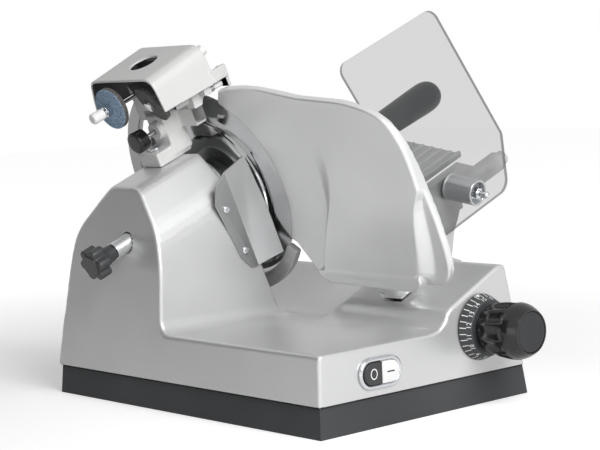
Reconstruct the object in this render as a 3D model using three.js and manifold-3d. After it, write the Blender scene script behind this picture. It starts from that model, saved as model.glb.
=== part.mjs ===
// Gravity-feed slicer with a 220 mm round blade, motor tower, inclined food carriage,
// adjustable gauge plate and top-mounted sharpener. Millimetres, +Z up.
//
// Three nested frames carry the pieces.
//   machine   x to the right along the front panel, y to the back, z up,
//             zero at the front left bottom corner of the skirt
//   inclined  machine turned so that x runs along the blade shaft (k), z up along the blade (m)
//   carriage  inclined turned about the shaft direction: y along the tray (v), z out of it (w)
import * as THREE from "three";
import { mergeVertices } from "three/addons/utils/BufferGeometryUtils.js";
import { ConvexGeometry } from "three/addons/geometries/ConvexGeometry.js";
import Module from "manifold-3d";

const wasm = await Module();
wasm.setup();

// Driving dimensions: base
const BASE_WIDTH = 299;
const BASE_DEPTH = 426;
const SKIRT_HEIGHT = 30.6;
const SKIRT_WALL = 8;
const GAP = 0.3; // between pieces that touch
const WALL = 5; // casting wall
const TRAY_LEVEL = 81; // slice tray
const LEFT_LEAN = 3.2; // draft of the left side, degrees
const FRONT_LEAN = 1.5;
const BACK_LEAN = 10.5;
const RIGHT_LEAN = 12.4;
const OVERHANG = 1.6; // casting past the skirt

// Driving dimensions: right-hand block and ramp
const BLOCK_FOOT_X = 152;
const BLOCK_RIDGE_X = 186;
const BLOCK_RIDGE_Z = 104.4;
const BLOCK_TOP_X = 262;
const BLOCK_TOP_Z = 139.6;
const BLOCK_END_Y = 147; // where the high front part starts to fall
const RAMP_START_Y = 188; // where the low back part begins
const RAMP_FOOT_X = 195;
const RAMP_TOP_Z = 126;

// Driving dimensions: tower
const INCLINE = 22.6; // blade shaft above the horizontal, degrees
const TOWER_FACE_K = 188; // side towards the blade
const TOWER_FRONT_Y = 241;
const PULLEY_HEADROOM = 17.8; // from the blade pulley to the tower's top

// Driving dimensions: blade and drive
const BLADE_RADIUS = 110;
const BLADE_Y = 299.5;
const BLADE_M = 157.2;
const BLADE_K = 216;
const SHAFT_RADIUS = 12;
const TIE_ROD_RADIUS = 5;
const BLADE_PULLEY_RADIUS = 36;
const TOWER_TOP_M = BLADE_M + BLADE_PULLEY_RADIUS + PULLEY_HEADROOM;
const MOTOR_PULLEY_RADIUS = 15;
const MOTOR_Y = 310;
const MOTOR_M = 70;
const MOTOR_RADIUS = 38;
const BELT_THICKNESS = 3;

// Driving dimensions: gauge plate and its drive
const GAUGE_TRAVEL = 15;
const GAUGE_TURN = 337.5; // knob angle for the full travel, degrees
const KNOB_X = 226.6;
const KNOB_Z = 79.7;
const DIAL_RADIUS = 34.2;
const DIAL_FRONT_RADIUS = 28.6;
const KNOB_RADIUS = 29.5; // at its widest
const KNOB_LENGTH = 53.6;
const KNOB_FLUTES = 11;
const SPINDLE_RADIUS = 5;
const CAM_START_RADIUS = 12;
const CAM_PIN_RADIUS = 2.5;

// Driving dimensions: carriage
const CARRIAGE_TILT = 11; // tray towards the operator, degrees
const CARRIAGE_TRAVEL = 215;
const GUARD_V = 102.5; // operator side of the tray
const GUARD_THICKNESS = 4;
const TRAY_W = 72; // tray surface
const TRAY_RIGHT_K = 415;
const BAR_V = 125;
const BAR_W = 46;
const ROD_X = 263;
const ROD_Z = 53;
const ROD_RADIUS = 8;
const PUSHER_TRAVEL = 74;

const radians = THREE.MathUtils.degToRad;
const slope = Math.tan(radians(INCLINE));
const cosIncline = Math.cos(radians(INCLINE));
const sinIncline = Math.sin(radians(INCLINE));

// Materials
const finish = (color, roughness, metalness) =>
  new THREE.MeshStandardMaterial({ color, roughness, metalness });
const castAluminium = finish(0xc4c6c7, 0.35, 0.9);
const machinedAluminium = finish(0xb4b6b8, 0.3, 0.95);
const steel = finish(0xb9bdc1, 0.18, 1.0);
const darkSteel = finish(0x6a6e72, 0.35, 0.9);
const blackRubber = finish(0x3a3d40, 0.8, 0.0);
const blackPlastic = finish(0x17181a, 0.3, 0.0);
const darkGrip = finish(0x3c4042, 0.5, 0.0);
const whitePlastic = finish(0xe8e8e6, 0.4, 0.0);
const paintedCast = finish(0xdcdbd8, 0.5, 0.1);
const gritStone = finish(0x7d93a8, 0.9, 0.0);
const honeStone = finish(0x55524f, 0.9, 0.0);
const clearAcrylic = new THREE.MeshStandardMaterial({
  color: 0xe3e6e6,
  roughness: 0.05,
  transparent: true,
  opacity: 0.35,
});
const brass = finish(0xb08d4a, 0.35, 1.0);

// Frames
const root = new THREE.Group();
const machine = new THREE.Group();
machine.position.set(-BASE_WIDTH / 2, -BASE_DEPTH / 2, 0);
root.add(machine);
const inclined = new THREE.Group();
inclined.rotation.y = -radians(INCLINE);
machine.add(inclined);
const carriage = new THREE.Group();
carriage.rotation.x = radians(CARRIAGE_TILT);
inclined.add(carriage);

// A closed three.js geometry as a manifold solid. Doubled points are merged, flat leftovers
// dropped, and a surface that faces inwards is turned round.
function solid(geometry) {
  const bare = geometry.index ? geometry.toNonIndexed() : geometry.clone();
  bare.deleteAttribute("normal");
  bare.deleteAttribute("uv");
  const merged = mergeVertices(bare, 1e-4);
  const corners = merged.index.array;
  const kept = [];
  for (let i = 0; i < corners.length; i += 3) {
    const [a, b, c] = [corners[i], corners[i + 1], corners[i + 2]];
    if (a !== b && b !== c && a !== c) kept.push(a, b, c);
  }
  const build = (triangles) =>
    new wasm.Manifold(
      new wasm.Mesh({
        numProp: 3,
        vertProperties: merged.attributes.position.array,
        triVerts: new Uint32Array(triangles),
      }),
    );
  const made = build(kept);
  return made.volume() < 0 ? build(kept.reverse()) : made;
}

// Which shape axes run along which frame axes for a sweep along x, y or z.
const SWEEP = {
  x: new THREE.Matrix4().makeBasis(
    new THREE.Vector3(0, 1, 0),
    new THREE.Vector3(0, 0, 1),
    new THREE.Vector3(1, 0, 0),
  ),
  y: new THREE.Matrix4().makeBasis(
    new THREE.Vector3(0, 0, 1),
    new THREE.Vector3(1, 0, 0),
    new THREE.Vector3(0, 1, 0),
  ),
  z: new THREE.Matrix4(),
};

// A box between two corners.
function box(x0, x1, y0, y1, z0, z1) {
  const g = new THREE.BoxGeometry(x1 - x0, y1 - y0, z1 - z0);
  return solid(g.translate((x0 + x1) / 2, (y0 + y1) / 2, (z0 + z1) / 2));
}

// An outline swept along an axis from start to end. Its points are (y, z) for x, (x, z) for y
// and (x, y) for z. A THREE.Shape is taken as it is, in the same two coordinates.
function prism(axis, outline, start, end, segments = 12) {
  const source = outline instanceof THREE.Shape
    ? outline.extractPoints(segments)
    : { shape: outline.map(([a, b]) => new THREE.Vector2(a, b)), holes: [] };
  const place = (p) =>
    axis === "y" ? new THREE.Vector2(p.y, p.x) : new THREE.Vector2(p.x, p.y);
  const shape = new THREE.Shape(source.shape.map(place));
  for (const hole of source.holes)
    shape.holes.push(new THREE.Path(hole.map(place)));
  const g = new THREE.ExtrudeGeometry(shape, {
    depth: end - start,
    bevelEnabled: false,
  });
  return solid(g.translate(0, 0, start).applyMatrix4(SWEEP[axis]));
}

// A profile of (radius, height) points turned about an axis that passes through (a, b),
// the two other coordinates in x, y, z order.
const TURN = {
  x: new THREE.Matrix4().makeBasis(
    new THREE.Vector3(0, 0, 1),
    new THREE.Vector3(1, 0, 0),
    new THREE.Vector3(0, 1, 0),
  ),
  y: new THREE.Matrix4(),
  z: new THREE.Matrix4().makeBasis(
    new THREE.Vector3(0, 1, 0),
    new THREE.Vector3(0, 0, 1),
    new THREE.Vector3(1, 0, 0),
  ),
};
function turned(axis, profile, a, b, segments = 24) {
  const points = profile.map(([r, h]) => new THREE.Vector2(r, h));
  if (profile[0][0] > 0) points.push(points[0].clone());
  const g = new THREE.LatheGeometry(points, segments).applyMatrix4(TURN[axis]);
  const offset = { x: [0, a, b], y: [a, 0, b], z: [a, b, 0] }[axis];
  return solid(g.translate(...offset));
}

// A round bar or, with a bore, a tube.
function rod(axis, radius, start, end, a, b, bore = 0, segments = 24) {
  const profile = bore
    ? [[bore, start], [radius, start], [radius, end], [bore, end]]
    : [[0, start], [radius, start], [radius, end], [0, end]];
  return turned(axis, profile, a, b, segments);
}

// A skin over rings of equally many points, closed by a cap at each end.
function lofted(rings) {
  const count = rings[0].length;
  const positions = rings.flat().flatMap((p) => [p.x, p.y, p.z]);
  const indices = [];
  for (let r = 0; r + 1 < rings.length; r++)
    for (let i = 0; i < count; i++) {
      const j = (i + 1) % count;
      const [a, b] = [r * count + i, r * count + j];
      const [c, d] = [a + count, b + count];
      indices.push(a, b, d, a, d, c);
    }
  const flatten = (ring) => {
    const spans = ["x", "y", "z"].map((axis) => {
      const values = ring.map((p) => p[axis]);
      return [Math.max(...values) - Math.min(...values), axis];
    });
    const [u, v] = spans
      .sort((p, q) => q[0] - p[0])
      .slice(0, 2)
      .map((s) => s[1])
      .sort();
    return ring.map((p) => new THREE.Vector2(p[u], p[v]));
  };
  const cap = (ring, first, reverse) => {
    const flat = flatten(ring);
    const ccw = THREE.ShapeUtils.area(flat) > 0;
    const order = ccw ? flat : flat.slice().reverse();
    for (const t of THREE.ShapeUtils.triangulateShape(order, [])) {
      const ids = t.map((i) => first + (ccw ? i : count - 1 - i));
      const sameWay = ccw !== reverse;
      indices.push(...(sameWay ? ids : ids.reverse()));
    }
  };
  cap(rings[0], 0, true);
  cap(rings[rings.length - 1], (rings.length - 1) * count, false);
  const g = new THREE.BufferGeometry();
  g.setAttribute("position", new THREE.Float32BufferAttribute(positions, 3));
  g.setIndex(indices);
  return solid(g);
}

const join = (...solids) => solids.reduce((a, b) => a.add(b));
const cut = (body, ...tools) => tools.reduce((a, b) => a.subtract(b), body);

// Solids made in the inclined or carriage frame, moved into the machine frame.
const inclineMatrix = new THREE.Matrix4().makeRotationY(-radians(INCLINE));
const moved = (body, matrix) => solid(geometryOf(body).applyMatrix4(matrix));
const toMachine = (body) => moved(body, inclineMatrix);
const tiltMatrix = new THREE.Matrix4().makeRotationX(radians(CARRIAGE_TILT));
const toIncline = (body) => moved(body, tiltMatrix);
const fromMachine = (body) =>
  moved(body, inclineMatrix.clone().multiply(tiltMatrix).invert());

function geometryOf(body) {
  const mesh = body.getMesh();
  const g = new THREE.BufferGeometry();
  const points = new Float32Array(mesh.numVert * 3);
  for (let i = 0; i < mesh.numVert; i++)
    points.set(
      mesh.vertProperties.subarray(i * mesh.numProp, i * mesh.numProp + 3),
      i * 3,
    );
  g.setAttribute("position", new THREE.BufferAttribute(points, 3));
  g.setIndex(new THREE.BufferAttribute(new Uint32Array(mesh.triVerts), 1));
  return g;
}

function add(name, body, material, frame) {
  const g = geometryOf(body);
  g.computeVertexNormals();
  const mesh = new THREE.Mesh(g, material);
  mesh.name = name;
  frame.add(mesh);
  return mesh;
}

// Points of a regular outline with lobes, round a centre.
function lobes(count, radius, depth, steps = 8) {
  return Array.from({ length: count * steps }, (_, i) => {
    const angle = (i / (count * steps)) * Math.PI * 2;
    const r = radius + depth * Math.cos(count * angle);
    return [r * Math.cos(angle), r * Math.sin(angle)];
  });
}
const shift = (points, a, b) => points.map(([p, q]) => [p + a, q + b]);

// A hollow frustum or its filling: the drafted outside of the casting.
const SEAM_Z = SKIRT_HEIGHT + GAP;
function draftedHull(inset, bottom, top) {
  const corner = (z) => {
    const rise = z - SEAM_Z;
    const left = -OVERHANG + rise * Math.tan(radians(LEFT_LEAN)) + inset;
    const front = -OVERHANG + rise * Math.tan(radians(FRONT_LEAN)) + inset;
    const back =
      BASE_DEPTH + OVERHANG - rise * Math.tan(radians(BACK_LEAN)) - inset;
    const right = BASE_WIDTH - 5 - rise * Math.tan(radians(RIGHT_LEAN)) - inset;
    return [
      [left, front, z],
      [right, front, z],
      [right, back, z],
      [left, back, z],
    ];
  };
  const points = [...corner(bottom), ...corner(top)];
  return solid(new ConvexGeometry(points.map((p) => new THREE.Vector3(...p))));
}

// Cross-section of the base at one depth. high is the front block, low the ramp behind it.
function baseSection(y, share, drop, bottom) {
  const mix = (low, high) => low + (high - low) * share;
  const outline = [
    [-30, bottom],
    [-30, TRAY_LEVEL],
    [mix(BLOCK_FOOT_X + 26, BLOCK_FOOT_X), TRAY_LEVEL],
    [mix(BLOCK_FOOT_X + 34, BLOCK_FOOT_X + 14), TRAY_LEVEL + mix(0.2, 2.4)],
    [mix(RAMP_FOOT_X - 3, BLOCK_RIDGE_X - 10.5), TRAY_LEVEL + mix(0.8, 10)],
    [mix(RAMP_FOOT_X + 2, BLOCK_RIDGE_X - 7), TRAY_LEVEL + mix(3, 18.5)],
    [mix(RAMP_FOOT_X + 8, BLOCK_RIDGE_X), mix(TRAY_LEVEL + 7, BLOCK_RIDGE_Z)],
    [mix(BLOCK_TOP_X - 3, BLOCK_TOP_X - 3), mix(RAMP_TOP_Z, BLOCK_TOP_Z) - 1],
    [BLOCK_TOP_X + 4, mix(RAMP_TOP_Z, BLOCK_TOP_Z)],
    [BASE_WIDTH + 30, mix(RAMP_TOP_Z, BLOCK_TOP_Z)],
    [BASE_WIDTH + 30, bottom],
  ];
  return outline.map(
    ([x, z]) => new THREE.Vector3(x, y, z === bottom ? z : z - drop),
  );
}
function baseBody(drop, bottom) {
  const halfway = (BLOCK_END_Y + RAMP_START_Y) / 2;
  return lofted([
    baseSection(-30, 1, drop, bottom),
    baseSection(BLOCK_END_Y - drop, 1, drop, bottom),
    baseSection(halfway - drop, 0.5, drop, bottom),
    baseSection(RAMP_START_Y - drop, 0, drop, bottom),
    baseSection(BASE_DEPTH + 30, 0, drop, bottom),
  ]);
}

// The tower is swept along the blade shaft.
function towerBody(inset, end) {
  const outline = [
    [TOWER_FRONT_Y + inset, -90],
    [TOWER_FRONT_Y + inset, BLADE_M - 25 - inset * 0.3],
    [TOWER_FRONT_Y + 6 + inset, BLADE_M + 8 - inset * 0.4],
    [TOWER_FRONT_Y + 39 + inset, TOWER_TOP_M - inset],
    [325 - inset * 0.3, TOWER_TOP_M - inset],
    [336 - inset * 0.4, 205 - inset],
    [382 - inset * 0.7, 172 - inset * 0.8],
    [393 - inset, 160 - inset * 0.4],
    [400 - inset, 144],
    [407 - inset, 120],
    [BASE_DEPTH + 3 - inset, 24],
    [BASE_DEPTH + 3 - inset, -90],
  ];
  return toMachine(prism("x", outline, -60, end));
}

const KNOB_BORE = SPINDLE_RADIUS + 3;
const BUTTON_X = 79.3;
const BUTTON_Z = 54.4;
const BUTTON_HALF_WIDTH = 29;
const BUTTON_HALF_HEIGHT = 15.3;

// An outline with two straight sides and two round ends, centred on (x, z).
function oblong(halfWidth, halfHeight, x, z) {
  const shape = new THREE.Shape();
  const reach = halfWidth - halfHeight;
  shape.absarc(x + reach, z, halfHeight, -Math.PI / 2, Math.PI / 2, false);
  shape.absarc(x - reach, z, halfHeight, Math.PI / 2, Math.PI * 1.5, false);
  return shape;
}

const SLEEVE_K = 72; // where the tie rod leaves the left side
const POST_K = [231, 241]; // gauge post through the block top
const POST_Y = [76, 92];
const ARM_Y = [90, 125];
const SLOT_Z = [44, 61];

function buildHousing() {
  const outside = join(baseBody(0, SEAM_Z), towerBody(0, TOWER_FACE_K))
    .intersect(draftedHull(0, SEAM_Z, 300));
  const inside = join(
    baseBody(WALL, SEAM_Z - 10),
    towerBody(WALL, TOWER_FACE_K - WALL),
  ).intersect(draftedHull(WALL, SEAM_Z - 10, 300));
  const bladeBore = toMachine(
    rod("x", 26.4, TOWER_FACE_K - 12, TOWER_FACE_K + 8, BLADE_Y, BLADE_M),
  );
  const sleeveBore = toMachine(
    rod("x", 9.5 + GAP, SLEEVE_K - 20, SLEEVE_K + 14, BLADE_Y, BLADE_M),
  );
  const knobBore = rod("y", KNOB_BORE + GAP, -10, 12, KNOB_X, KNOB_Z);
  const buttonBore = prism(
    "y",
    oblong(BUTTON_HALF_WIDTH - 3, BUTTON_HALF_HEIGHT - 2.5, BUTTON_X, BUTTON_Z),
    -10,
    12,
    6,
  );
  const postSlot = toMachine(
    box(POST_K[0] - GAUGE_TRAVEL - 0.6, POST_K[1] + 0.6, POST_Y[0] - 1, POST_Y[1] + 1, 12, 40),
  );
  const armSlot = box(
    ROD_X + 14,
    BASE_WIDTH + 10,
    ARM_Y[0] - 4,
    ARM_Y[1] + CARRIAGE_TRAVEL + 4,
    SLOT_Z[0] - 3,
    SLOT_Z[1] + 3,
  );
  const screwHoles = DEFLECTOR_SCREWS.map(([k, m]) =>
    toMachine(rod("y", 2.2, 236, 250, k, m, 0, 12)),
  );
  const glandBore = rod(
    "y",
    GLAND_RADIUS + GAP,
    BASE_DEPTH - 30,
    BASE_DEPTH + 10,
    GLAND_X,
    GLAND_Z,
  );
  return cut(
    outside,
    inside,
    bladeBore,
    sleeveBore,
    knobBore,
    buttonBore,
    postSlot,
    armSlot,
    glandBore,
    ...screwHoles,
  );
}

const GLAND_X = 60;
const GLAND_Z = 50;
const GLAND_RADIUS = 9;
const DEFLECTOR_SCREWS = [
  [166, 151],
  [171, 99],
];

add("housing", buildHousing(), castAluminium, machine);

// Skirt, bottom plate and cord gland
function frustum(inset, bottom, top, lean) {
  const ring = (z, shrink) => [
    [inset + shrink, inset + shrink, z],
    [BASE_WIDTH - inset - shrink * 2.4, inset + shrink, z],
    [BASE_WIDTH - inset - shrink * 2.4, BASE_DEPTH - inset - shrink, z],
    [inset + shrink, BASE_DEPTH - inset - shrink, z],
  ];
  const points = [...ring(bottom, 0), ...ring(top, lean)];
  return solid(new ConvexGeometry(points.map((p) => new THREE.Vector3(...p))));
}
add(
  "base_skirt",
  cut(
    frustum(0, 0, SKIRT_HEIGHT, 2),
    box(SKIRT_WALL, BASE_WIDTH - SKIRT_WALL - 4, SKIRT_WALL, BASE_DEPTH - SKIRT_WALL, -5, 40),
  ),
  blackRubber,
  machine,
);
add(
  "bottom_plate",
  box(
    SKIRT_WALL + GAP,
    BASE_WIDTH - SKIRT_WALL - 4 - GAP,
    SKIRT_WALL + GAP,
    BASE_DEPTH - SKIRT_WALL - GAP,
    0,
    2,
  ),
  darkSteel,
  machine,
);
const glandSeatY = BASE_DEPTH + OVERHANG - (GLAND_Z - SEAM_Z) * Math.tan(radians(BACK_LEAN));
add(
  "cord_gland",
  turned(
    "y",
    [
      [4, glandSeatY - 12],
      [GLAND_RADIUS, glandSeatY - 12],
      [GLAND_RADIUS, glandSeatY + 2.2],
      [12, glandSeatY + 2.2],
      [12, glandSeatY + 7],
      [8, glandSeatY + 9],
      [4, glandSeatY + 9],
    ],
    GLAND_X,
    GLAND_Z,
  ),
  blackRubber,
  machine,
);


// Double push-button switch
const BEZEL_BACK = -1.7;
const COLLAR_BACK = 11.7;
const buttonBody = (halfWidth, halfHeight, y0, y1) =>
  prism("y", oblong(halfWidth, halfHeight, BUTTON_X, BUTTON_Z), y0, y1, 8);
const COLLAR_HALF = [BUTTON_HALF_WIDTH - 3 - GAP, BUTTON_HALF_HEIGHT - 2.5 - GAP];
const WELL_HALF = [COLLAR_HALF[0] - 1.4, COLLAR_HALF[1] - 1.4];
add(
  "switch_bezel",
  cut(
    join(
      buttonBody(BUTTON_HALF_WIDTH, BUTTON_HALF_HEIGHT, -4.2, BEZEL_BACK),
      buttonBody(COLLAR_HALF[0], COLLAR_HALF[1], -4.2, COLLAR_BACK),
    ),
    buttonBody(WELL_HALF[0], WELL_HALF[1], -10, 20),
  ),
  castAluminium,
  machine,
);
const fullButton = () => buttonBody(WELL_HALF[0] - GAP, WELL_HALF[1] - GAP, -5.4, 8.4);
add(
  "off_button",
  fullButton().intersect(box(0, BUTTON_X - GAP / 2, -20, 20, 0, 90)),
  blackPlastic,
  machine,
);
add(
  "on_button",
  fullButton().intersect(box(BUTTON_X + GAP / 2, 200, -20, 20, 0, 90)),
  whitePlastic,
  machine,
);
add("switch_block", box(52, 106, 12, 44, 41, 68), blackPlastic, machine);

// Thickness knob, dial, spindle and snail cam
const DIAL_FRONT = -15;
const DIAL_BACK = -1.6;
const KNOB_BACK = DIAL_FRONT - 0.4;
const KNOB_FRONT = KNOB_BACK - KNOB_LENGTH;
const CAP_RADIUS = KNOB_RADIUS - 9;
const CAP_DEPTH = 4;
const SPINDLE_FRONT = KNOB_FRONT + CAP_DEPTH + 4;
add(
  "dial_ring",
  turned(
    "y",
    [
      [SPINDLE_RADIUS + GAP, DIAL_BACK], [DIAL_RADIUS, DIAL_BACK], [DIAL_RADIUS, DIAL_BACK - 0.8],
      [DIAL_FRONT_RADIUS, DIAL_FRONT], [SPINDLE_RADIUS + GAP, DIAL_FRONT],
    ],
    KNOB_X,
    KNOB_Z,
    40,
  ),
  blackPlastic,
  machine,
);
// Share of the length, radius below the widest, depth of the flutes.
const knobRings = [
  [0, 7.9, 0.3], [0.045, 5.5, 1], [0.27, 1.7, 1.5], [0.545, 0.2, 1.4], [0.65, 0.1, 0.8],
  [0.727, 0.4, 0], [0.818, 1.6, 0], [0.92, 4.2, 0], [1, 7, 0],
].map(([share, below, depth]) =>
  shift(lobes(KNOB_FLUTES, KNOB_RADIUS - below - depth, depth, 4), KNOB_X, KNOB_Z).map(
    ([x, z]) => new THREE.Vector3(x, KNOB_BACK - share * KNOB_LENGTH, z),
  ),
);
add(
  "thickness_knob",
  cut(
    lofted(knobRings),
    rod("y", CAP_RADIUS + GAP, KNOB_FRONT - 5, KNOB_FRONT + CAP_DEPTH + GAP, KNOB_X, KNOB_Z),
    rod("y", SPINDLE_RADIUS + GAP, SPINDLE_FRONT - GAP, 0, KNOB_X, KNOB_Z),
  ),
  blackPlastic,
  machine,
);
add(
  "knob_cap",
  rod("y", CAP_RADIUS, KNOB_FRONT, KNOB_FRONT + CAP_DEPTH, KNOB_X, KNOB_Z),
  blackPlastic,
  machine,
);
const CAM_Y = [104, 112];
add(
  "spindle_bush",
  join(
    rod("y", KNOB_BORE, DIAL_BACK + GAP, 12, KNOB_X, KNOB_Z, SPINDLE_RADIUS + GAP),
    rod("y", 12, 5.5, 9, KNOB_X, KNOB_Z, SPINDLE_RADIUS + GAP),
  ),
  brass,
  machine,
);
const camOutline = [];
const camStart = 180 + INCLINE;
const camPoint = (turn, radius) => {
  const angle = radians(camStart - turn);
  camOutline.push([KNOB_X + radius * Math.cos(angle), KNOB_Z + radius * Math.sin(angle)]);
};
for (let turn = 0; turn <= 45; turn++)
  camPoint(turn * 7.5, CAM_START_RADIUS + (GAUGE_TRAVEL * turn * 7.5) / GAUGE_TURN);
camPoint(343, CAM_START_RADIUS + GAUGE_TRAVEL);
camPoint(345.5, CAM_START_RADIUS);
camPoint(353, CAM_START_RADIUS);
add(
  "thickness_spindle",
  join(
    rod("y", SPINDLE_RADIUS, SPINDLE_FRONT, CAM_Y[1] - 1, KNOB_X, KNOB_Z, 0, 16),
    prism("y", camOutline, CAM_Y[0], CAM_Y[1]),
  ),
  steel,
  machine,
);

// Gauge plate: a thin rim whose back swells towards the slices, on a foot
const GAUGE_RIM = [
  [236.9, 270.5], [222.4, 273], [197.8, 273.6], [172, 271.3], [118.9, 260.6],
  [62.8, 255.2], [47.1, 252.2], [24.9, 245.4], [8.1, 236.6], [-3.6, 222.6],
  [-11.7, 203.3], [-16.3, 181.8], [-19.5, 150.4], [-21.4, 128.5], [-21.5, 95.2],
  [-19, 72], [-14, 60.4], [-5, 53], [10, 50.3], [163.2, 50.1], [177, 53], [197, 90],
];
const GAUGE_ARC_RADIUS = BLADE_RADIUS + 2.2;
const arcStart = Math.atan2(90 - BLADE_M, 197 - BLADE_Y) + Math.PI * 2;
const arcEnd = Math.atan2(270.5 - BLADE_M, 236.9 - BLADE_Y);
const gaugeOutline = GAUGE_RIM.slice();
for (let i = 0; i <= 16; i++) {
  const angle = arcStart + ((arcEnd - arcStart) * i) / 16;
  gaugeOutline.push([
    BLADE_Y + GAUGE_ARC_RADIUS * Math.cos(angle),
    BLADE_M + GAUGE_ARC_RADIUS * Math.sin(angle),
  ]);
}
const PANEL_OUTER = [
  [177, 55], [158, 80], [144, 112], [139, 157], [142, 192], [152, 224], [166, 250], [176, 268],
  [118, 258], [63, 252], [40, 247], [22, 239], [8, 222], [-1, 200], [-7, 160], [-8, 110],
  [-5, 75], [4, 58], [30, 52], [100, 52],
];
const PANEL_TOP = [
  [168, 60], [150, 87], [137, 118], [132, 157], [135, 192], [144, 220], [155, 242], [163, 256],
  [118, 249], [66, 243], [48, 237], [36, 227], [27, 212], [21, 190], [17, 155], [16, 110],
  [19, 82], [26, 66], [42, 58], [100, 57],
];
const panelRing = (points, k) => points.map(([y, m]) => new THREE.Vector3(k, y, m));
const gaugePanel = lofted([
  panelRing(PANEL_OUTER, BLADE_K - 6),
  panelRing(PANEL_OUTER, BLADE_K - 8.5),
  panelRing(PANEL_TOP, BLADE_K - 19.5),
  panelRing(PANEL_TOP.map(([y, m]) => [92 + (y - 92) * 0.94, 157 + (m - 157) * 0.96]), BLADE_K - 21),
]);
// The panel is hollow, and opens through the underside of the foot.
const hollowRing = (share, k) =>
  PANEL_TOP.map(([y, m]) => new THREE.Vector3(k, 88 + (y - 88) * share, 150 + (m - 150) * share));
const gaugeHollow = lofted([hollowRing(1.02, BLADE_K - 5), hollowRing(0.98, BLADE_K - 10), hollowRing(0.9, BLADE_K - 17)]);
add(
  "gauge_plate",
  cut(
    join(
      prism("x", gaugeOutline, BLADE_K - 8, BLADE_K),
      gaugePanel,
      prism("x", [[163, 60], [152, 51.5], [138.5, 51], [24.5, 47.8], [16, 58], [16, 62]], BLADE_K - 20.5, BLADE_K),
    ),
    gaugeHollow,
    box(BLADE_K - 16, BLADE_K - 6, 62, 130, 30, 90),
  ),
  castAluminium,
  inclined,
);

// Gauge carrier under the block top
const GAUGE_ROD_Y = [66, 96];
const GAUGE_ROD_M = 5;
const GAUGE_ROD_RADIUS = 4;
const SLIDER_K = [222, 246];
const camK = KNOB_X * cosIncline + KNOB_Z * sinIncline;
const camM = KNOB_Z * cosIncline - KNOB_X * sinIncline;
const PIN_K = camK - CAM_START_RADIUS - CAM_PIN_RADIUS - 0.5;
add(
  "gauge_carrier",
  cut(
    join(
      box(BLADE_K + GAP, 244.5, 70, 104, 31.6, 58),
      rod("z", 17, 31.6, 47.2, 226, 82, 0, 28),
      box(POST_K[0], POST_K[1], POST_Y[0], POST_Y[1], 0, 40),
      box(SLIDER_K[0], SLIDER_K[1], 59, 103, -4, 14),
      box(PIN_K - 4, PIN_K + 4.5, 97, 103, camM - 4, 0),
      rod("y", CAM_PIN_RADIUS, 100, CAM_Y[1], PIN_K, camM, 0, 12),
    ),
    ...GAUGE_ROD_Y.map((y) => rod("x", GAUGE_ROD_RADIUS + GAP, 180, 280, y, GAUGE_ROD_M, 0, 16)),
  ),
  machinedAluminium,
  inclined,
);
add(
  "gauge_frame",
  join(
    box(197, 271, 52, 56, -6, 12),
    box(197, 202, 52, 103, -6, 12),
    box(265, 271, 52, 103, -6, 22),
    ...GAUGE_ROD_Y.map((y) => rod("x", GAUGE_ROD_RADIUS, 198, 270, y, GAUGE_ROD_M, 0, 16)),
  ),
  darkSteel,
  inclined,
);
add(
  "gauge_seal",
  cut(
    box(215, 244.5, 72, 102, 27.2, 31.3),
    box(POST_K[0] - GAP, POST_K[1] + GAP, POST_Y[0] - GAP, POST_Y[1] + GAP, 20, 40),
  ),
  whitePlastic,
  inclined,
);

// Blade, its shaft, bearings and cover
const HUB_FACE = BLADE_K - 10;
const SCREW_CIRCLE = 22;
const screwPlaces = [90, 210, 330].map((a) => [
  BLADE_Y + SCREW_CIRCLE * Math.cos(radians(a)),
  BLADE_M + SCREW_CIRCLE * Math.sin(radians(a)),
]);
add(
  "blade",
  cut(
    turned(
      "x",
      [
        [14, HUB_FACE], [79, HUB_FACE], [80.5, HUB_FACE + 3], [88.5, HUB_FACE + 3],
        [BLADE_RADIUS, BLADE_K - 0.2], [BLADE_RADIUS, BLADE_K + 0.4],
        [86, BLADE_K - 1], [83, HUB_FACE + 4], [14, HUB_FACE + 4],
      ],
      BLADE_Y,
      BLADE_M,
      96,
    ),
    ...screwPlaces.map(([y, m]) => rod("x", 2.6, HUB_FACE - 5, HUB_FACE + 10, y, m, 0, 12)),
  ),
  steel,
  inclined,
);
add(
  "blade_shaft",
  cut(
    turned(
      "x",
      [
        [5.5, 122], [SHAFT_RADIUS, 122], [SHAFT_RADIUS, 197], [30, 197], [30, HUB_FACE - GAP],
        [13.7, HUB_FACE - GAP], [13.7, HUB_FACE + 5.5], [5.5, HUB_FACE + 5.5],
      ],
      BLADE_Y,
      BLADE_M,
      32,
    ),
    ...screwPlaces.map(([y, m]) => rod("x", 2.3, 199, 215, y, m, 0, 12)),
  ),
  steel,
  inclined,
);
screwPlaces.forEach(([y, m], i) =>
  add(
    "blade_screw_" + (i + 1),
    join(
      rod("x", 2, 200, HUB_FACE + 5, y, m, 0, 12),
      rod("x", 4.4, HUB_FACE + 4 + GAP, HUB_FACE + 6.4, y, m, 0, 16),
    ),
    steel,
    inclined,
  ),
);
add(
  "blade_cover",
  turned(
    "x",
    [
      [0, BLADE_K + 0.4], [80, BLADE_K + 0.4], [81, BLADE_K - 0.8], [81, BLADE_K - 2.4],
      [16, BLADE_K - 2.4], [16, BLADE_K - 4], [TIE_ROD_RADIUS + GAP, BLADE_K - 4],
      [TIE_ROD_RADIUS + GAP, BLADE_K - 1.2], [0, BLADE_K - 1.2],
    ].reverse(),
    BLADE_Y,
    BLADE_M,
    48,
  ),
  steel,
  inclined,
);
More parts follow.
